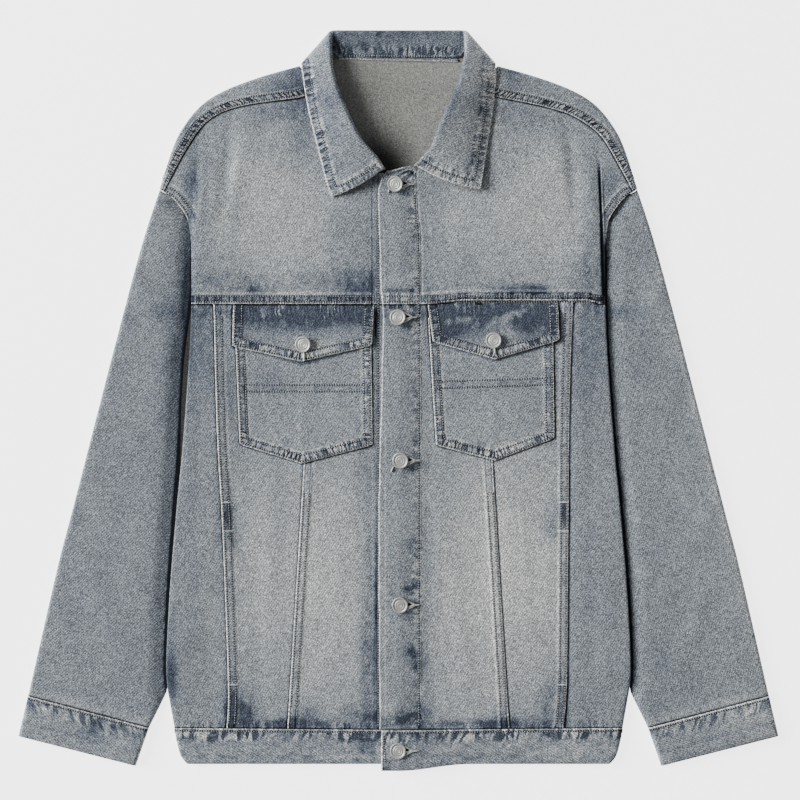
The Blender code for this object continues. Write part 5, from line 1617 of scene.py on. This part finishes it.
def stitches(name, surface, rows, thread, length, width, pitch, thick=0.55, sink=0.05, start=0.0):
    """Join short threads along rows of points, dropped on the cloth.

    Each row is a line of x, y in mm, or a list of single stitches as ((x, y), (x, y)) ends.
    """
    ends = []
    for row in rows:
        line = np.array(row, float)
        if line.ndim == 3:
            ends += list(line)
            continue
        total = reach_of(line)[-1]
        count = max(1, int(total / pitch))
        starts = (np.arange(count) * pitch + start + (total - count * pitch) / 2) / total
        ends += list(zip(along(line, starts), along(line, starts + length / total)))
    ends = np.array([(*a, *b) for a, b in ends])
    heights = np.array([[height_on(surface, *end[:2]), height_on(surface, *end[2:])] for end in ends])
    good = ~np.isnan(heights).any(1) & (np.abs(heights[:, 0] - heights[:, 1]) < 1.2)
    ends, heights = ends[good], heights[good]
    first = np.column_stack([ends[:, :2], heights[:, 0]])
    last = np.column_stack([ends[:, 2:], heights[:, 1]])
    run = last - first
    size = np.linalg.norm(run, axis=1)[:, None]
    forward = run / size
    across = np.cross([0, 0, 1.0], forward)
    across /= np.linalg.norm(across, axis=1)[:, None]
    up = np.cross(forward, across)
    middle = (first + last) / 2 - up * sink
    long, wide, tall = (STITCH_POINTS[None, :, axis:axis + 1] for axis in range(3))
    points = (middle[:, None] + long * run[:, None] + wide * width * across[:, None]
              + tall * thick * up[:, None])
    count = len(STITCH_POINTS)
    faces = [tuple(count * i + k for k in face) for i in range(len(points)) for face in STITCH_FACES]
    mesh = bpy.data.meshes.new(name)
    mesh.from_pydata((points.reshape(-1, 3) * MM).tolist(), [], faces)
    mesh.materials.append(finishes[thread])
    mesh.shade_smooth()
    piece = bpy.data.objects.new(name, mesh)
    bpy.context.scene.collection.objects.link(piece)
    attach(piece, "root")
    return piece


def between(line, low, high):
    """The part of a line between two heights."""
    return line[(line[:, 1] >= low) & (line[:, 1] <= high)]


def even(line, step=6.0):
    """A line with points about a step apart."""
    line = np.array(line, float)
    return along(line, spaced(0, 1, step / reach_of(line)[-1]))


def inset_outline(corners, gap):
    """A pocket's sides and foot, moved in by a gap with sharp corners."""
    points = [np.array(c, float) for c in corners]
    middle = sum(points) / len(points)
    lines = []
    for a, b in zip(points, points[1:]):
        step = (b - a) / np.linalg.norm(b - a)
        side = np.array((-step[1], step[0]))
        side = side if side @ (middle - a) > 0 else -side
        lines.append((a + side * gap, step))
    made = [lines[0][0]]
    for (p, d), (q, e) in zip(lines, lines[1:]):
        t = ((q - p)[0] * e[1] - (q - p)[1] * e[0]) / (d[0] * e[1] - d[1] * e[0])
        made.append(p + d * t)
    last = points[-1] + (lines[-1][0] - points[-2])
    return np.array([*made, last])


def side_rows(side, sign):
    """The topstitching of one side's seams, pocket and cuff, as lines of x, y in mm."""
    flip = np.array((sign, 1))
    start = CHEST_ROW_START if side == "right" else opening(side, 100.0) + 1
    end = x_at(body_edge, 100.0) - 1.5
    rows = []
    for offset in ROWS:
        rows.append(even(np.array([(start, CHEST_Y + offset), (end, CHEST_Y + offset)]) * flip))
        rows.append(even((between(v_seam, HEM_Y + 1, V_ROW_TOP) - (offset, 0)) * flip))
        rows.append(even((between(side_seam[side], HEM_Y + 1, CHEST_Y - 1) - (offset, 0)) * flip))
    arm = between(armhole, 183, 209)
    for offset in ARMHOLE_ROWS:
        rows.append(even((arm + sideways(arm) * offset) * flip))
    seam = even(shoulder_seam[side][3:-2], 4.0)
    for offset in ROWS:
        rows.append((seam + sideways(seam) * offset) * flip)
    for gap in FLAP_ROWS:
        line = even(inset_outline(FLAP_CORNERS[side], gap), 3.0)
        rows.append(line[line[:, 1] < chest(line[:, 0]) - 1])
    pouch = POUCH_CORNERS[side]
    for gap in POUCH_ROWS:
        line = even(inset_outline(pouch, gap), 3.0)
        rows.append(line[line[:, 1] < POUCH_ROW_TOP])
    level, rise = CROSS_ROWS[side]
    for y in (level, level - CROSS_GAUGE):
        rows.append(even([(pouch[4][0] + 1.5 * sign, y), (pouch[0][0] - 1.5 * sign, y + rise)]))
    down = np.array(CUFF_EDGE[1]) - sleeve_inner[-1]
    cuff = np.array([sleeve_inner[-1], sleeve_outer[-1]]) + down / np.linalg.norm(down) * CUFF_ROW
    rows.append(even((cuff + [[2.5, 0.6], [-2.5, -0.6]]) * flip))
    return rows


def middle_rows():
    """The topstitching of the opening, the waistband and the neck tape."""
    y = spaced(-326, 205, 5.0)
    rows = [np.stack([x_at(placket_right, y) - PLACKET_ROW, y], -1),
            np.stack([np.full(len(y), STAND_ROW_X), y], -1)]
    for offset in ROWS:
        rows.append(even([(-15.6, PLACKET_CHEST_Y + offset), (19.5, CHEST_Y + offset)]))
    for x in (spaced(-221, -19.5, 5.0), spaced(20, 221, 5.0), spaced(-14, 18, 4.0)):
        rows.append(np.stack([x, hem(x) - WAIST_ROW], -1))
    rows.append(even([(-15.0, -334), (-13.2, -362)]))
    rows.append(even([(-58, 345.0), (53, 343.3)]))
    return rows


class JACKET_OT_stitching(JacketPiece, bpy.types.Operator):
    """Sew the topstitching along every seam, edge and pocket"""

    bl_idname = "jacket.stitching"
    bl_label = "Stitching"

    def execute(self, context):
        settings = context.scene.jacket
        surface = cloth_surface()
        length, width, pitch = (size / MM for size in (settings.stitch_length, settings.thread_width,
                                                       settings.stitch_pitch))
        rows = [row for side, sign in SIDES.items() for row in side_rows(side, sign)]
        rows += middle_rows() + self.collar_rows()
        stitches("topstitching", surface, rows, "topstitch_thread", length, width, pitch)
        # Painted shade: dark dashes between the stitches stand for the shade in the needle holes
        stitches("needle_holes", surface, rows, "slit_shadow", 1.35, 1.9, pitch, thick=0.3, sink=-0.12,
                 start=length - 0.15)
        stitches("bar_tacks", surface, self.tacks(), "buttonhole_thread", length, width, pitch)
        holes, slits = self.buttonholes()
        stitches("buttonhole_stitching", surface, holes, "buttonhole_thread", 1.6, 0.9, 0.8, thick=1.5,
                 sink=-0.9)
        # Painted shade: dark strips stand for the shade inside the opened slits
        stitches("buttonhole_slits", surface, slits, "slit_shadow", 7.0, 1.5, 7.0, thick=0.3, sink=-0.08)
        return {"FINISHED"}

    @staticmethod
    def collar_rows():
        """Rows in from the fall's front and outer edges."""
        rows = []
        for side, sign in SIDES.items():
            table = np.array(COLLAR_FRONT[side])
            outer = table[:, 3:5] * (sign, 1)
            front = np.array([table[0, 0:2] * (sign, 1), table[0, 3:5] * (sign, 1)])
            bow = np.linspace(0, 1, 14)
            curve = front[0] * (1 - bow[:, None]) + front[1] * bow[:, None]
            curve[:, 1] -= table[0, 7] * np.sin(np.pi * bow)
            rows.append(curve[2:-2] + np.array((0.32 * sign, 0.95)) * COLLAR_FRONT_ROW)
            rows.append(even(outer - np.array((COLLAR_ROW * sign, 0)), 4.0)[2:])
        return rows

    @staticmethod
    def tacks():
        """Bar tacks: short stitches set close across a seam's double row."""
        bars = []
        for side, sign in SIDES.items():
            for y in TACK_LEVELS:
                outer = x_at(side_seam[side], y)
                for k in range(TACK_STITCHES):
                    x = sign * (outer - 0.8 - k * TACK_PITCH)
                    bars.append(((x, y - 0.9), (x + 0.5, y + 0.9)))
        return [bars]

    @staticmethod
    def buttonholes():
        """Overlocked buttonholes, pulled open beside each button, with the painted shade of their slits and
        two loose ends.
        """
        holes, slits = [], []

        def overlock(start, end):
            """Short stitches set close, from one place to another."""
            start, end = np.array(start, float), np.array(end, float)
            run = end - start
            across = np.array((-run[1], run[0])) / np.linalg.norm(run) * 0.9
            for share in spaced(0, 1, 0.62 / np.linalg.norm(run)):
                at = start + run * share
                holes.append((tuple(at - across), tuple(at + across + run * 0.03)))

        for x, y, _left, _foot in FRONT_BUTTONS:
            meet, end = x + HOLE_MEETS, x + HOLE_ENDS
            for way in (1, -1):
                overlock((x + 6.5, y + way * 4.6), (meet, y + way * 0.6))
            overlock((meet, y), (end, y))
            overlock((x + 7.6, y - 1.7), (meet, y + 0.3))
            for away in (-1.5, 0, 1.5):
                slits.append([((x + 6, y + away), (meet - 1.5, y + 0.2 * away))])
        for side, drop in (("right", 8.5), ("left", 5.0)):
            x, y = POCKET_BUTTONS[side][:2]
            overlock((x + 1, y - 7.5), (x + 1, y - 7.5 - drop))
        for number, start, end in ((0, (-6.6, -5.2), (-6.4, -8.6)), (2, (-6.9, -5.4), (-9.6, -11.6))):
            x, y = FRONT_BUTTONS[number][:2]
            holes.append(((x + start[0], y + start[1]), (x + end[0], y + end[1])))
        return [holes], slits


# ---- Stage ----

FLOOR_SIZE, FLOOR_Z = 12.0, -0.0003  # m
LAMP_PLACE, LAMP_SIZE, LAMP_POWER = (-6.4, 1.9, 2.8), 4.2, 1240  # m, m, W
EYE_PLACE = (0.0015, 0.0, 1.895)  # m
LENS, FILM_WIDTH = 85, 36  # mm


class JACKET_OT_stage(JacketPiece, bpy.types.Operator):
    """Lay a plain pale floor, and set soft studio light and the camera straight above"""

    bl_idname = "jacket.stage"
    bl_label = "Stage"

    def execute(self, context):
        scene = context.scene
        bpy.ops.object.select_all(action="DESELECT")
        bpy.ops.mesh.primitive_plane_add(size=FLOOR_SIZE, location=(0, 0, FLOOR_Z))
        floor = context.active_object
        floor.name = "studio_floor"
        bpy.ops.object.transform_apply(location=True, rotation=True, scale=True)
        _tree, shader = finish("pale_floor", linear("#F7F7F7"), 0.9)
        shader.inputs["Emission Color"].default_value = linear("#FFFFFF")
        shader.inputs["Emission Strength"].default_value = 3.2
        floor.data.materials.append(finishes["pale_floor"])

        world = bpy.data.worlds.new("studio")
        world.use_nodes = True
        world.node_tree.nodes["Background"].inputs["Color"].default_value = linear("#F4F6FA")
        world.node_tree.nodes["Background"].inputs["Strength"].default_value = 0.22
        scene.world = world

        light = bpy.data.lights.new("key_light", "AREA")
        light.size = LAMP_SIZE
        light.energy = LAMP_POWER
        lamp = bpy.data.objects.new("key_light", light)
        lamp.location = LAMP_PLACE
        lamp.rotation_euler = (-Vector(LAMP_PLACE)).to_track_quat("-Z", "Y").to_euler()
        scene.collection.objects.link(lamp)

        camera = bpy.data.cameras.new("camera")
        camera.lens = LENS
        camera.sensor_width = FILM_WIDTH
        eye = bpy.data.objects.new("camera", camera)
        eye.location = EYE_PLACE
        scene.collection.objects.link(eye)
        scene.camera = eye
        return {"FINISHED"}


class JACKET_PT_panel(bpy.types.Panel):
    """Lists the jacket's sizes, colours and pieces"""

    bl_label = "Denim Jacket"
    bl_idname = "JACKET_PT_panel"
    bl_space_type = "VIEW_3D"
    bl_region_type = "UI"
    bl_category = "Jacket"

    def draw(self, context):
        for name in JacketSettings.__annotations__:
            self.layout.prop(context.scene.jacket, name)
        for step in STEPS:
            self.layout.operator(step.bl_idname)


STEPS = (JACKET_OT_finishes, JACKET_OT_fronts, JACKET_OT_back, JACKET_OT_opening, JACKET_OT_waistband,
         JACKET_OT_pockets, JACKET_OT_sleeves, JACKET_OT_collar, JACKET_OT_buttons, JACKET_OT_stitching,
         JACKET_OT_stage)


def register():
    for item in (JacketSettings, *STEPS, JACKET_PT_panel):
        bpy.utils.register_class(item)
    bpy.types.Scene.jacket = bpy.props.PointerProperty(type=JacketSettings)


def unregister():
    del bpy.types.Scene.jacket
    for item in (JACKET_PT_panel, *reversed(STEPS), JacketSettings):
        bpy.utils.unregister_class(item)


def main():
    register()
    for step in STEPS:
        group, action = step.bl_idname.split(".")
        getattr(getattr(bpy.ops, group), action)()
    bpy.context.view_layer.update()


if __name__ == "__main__":
    main()
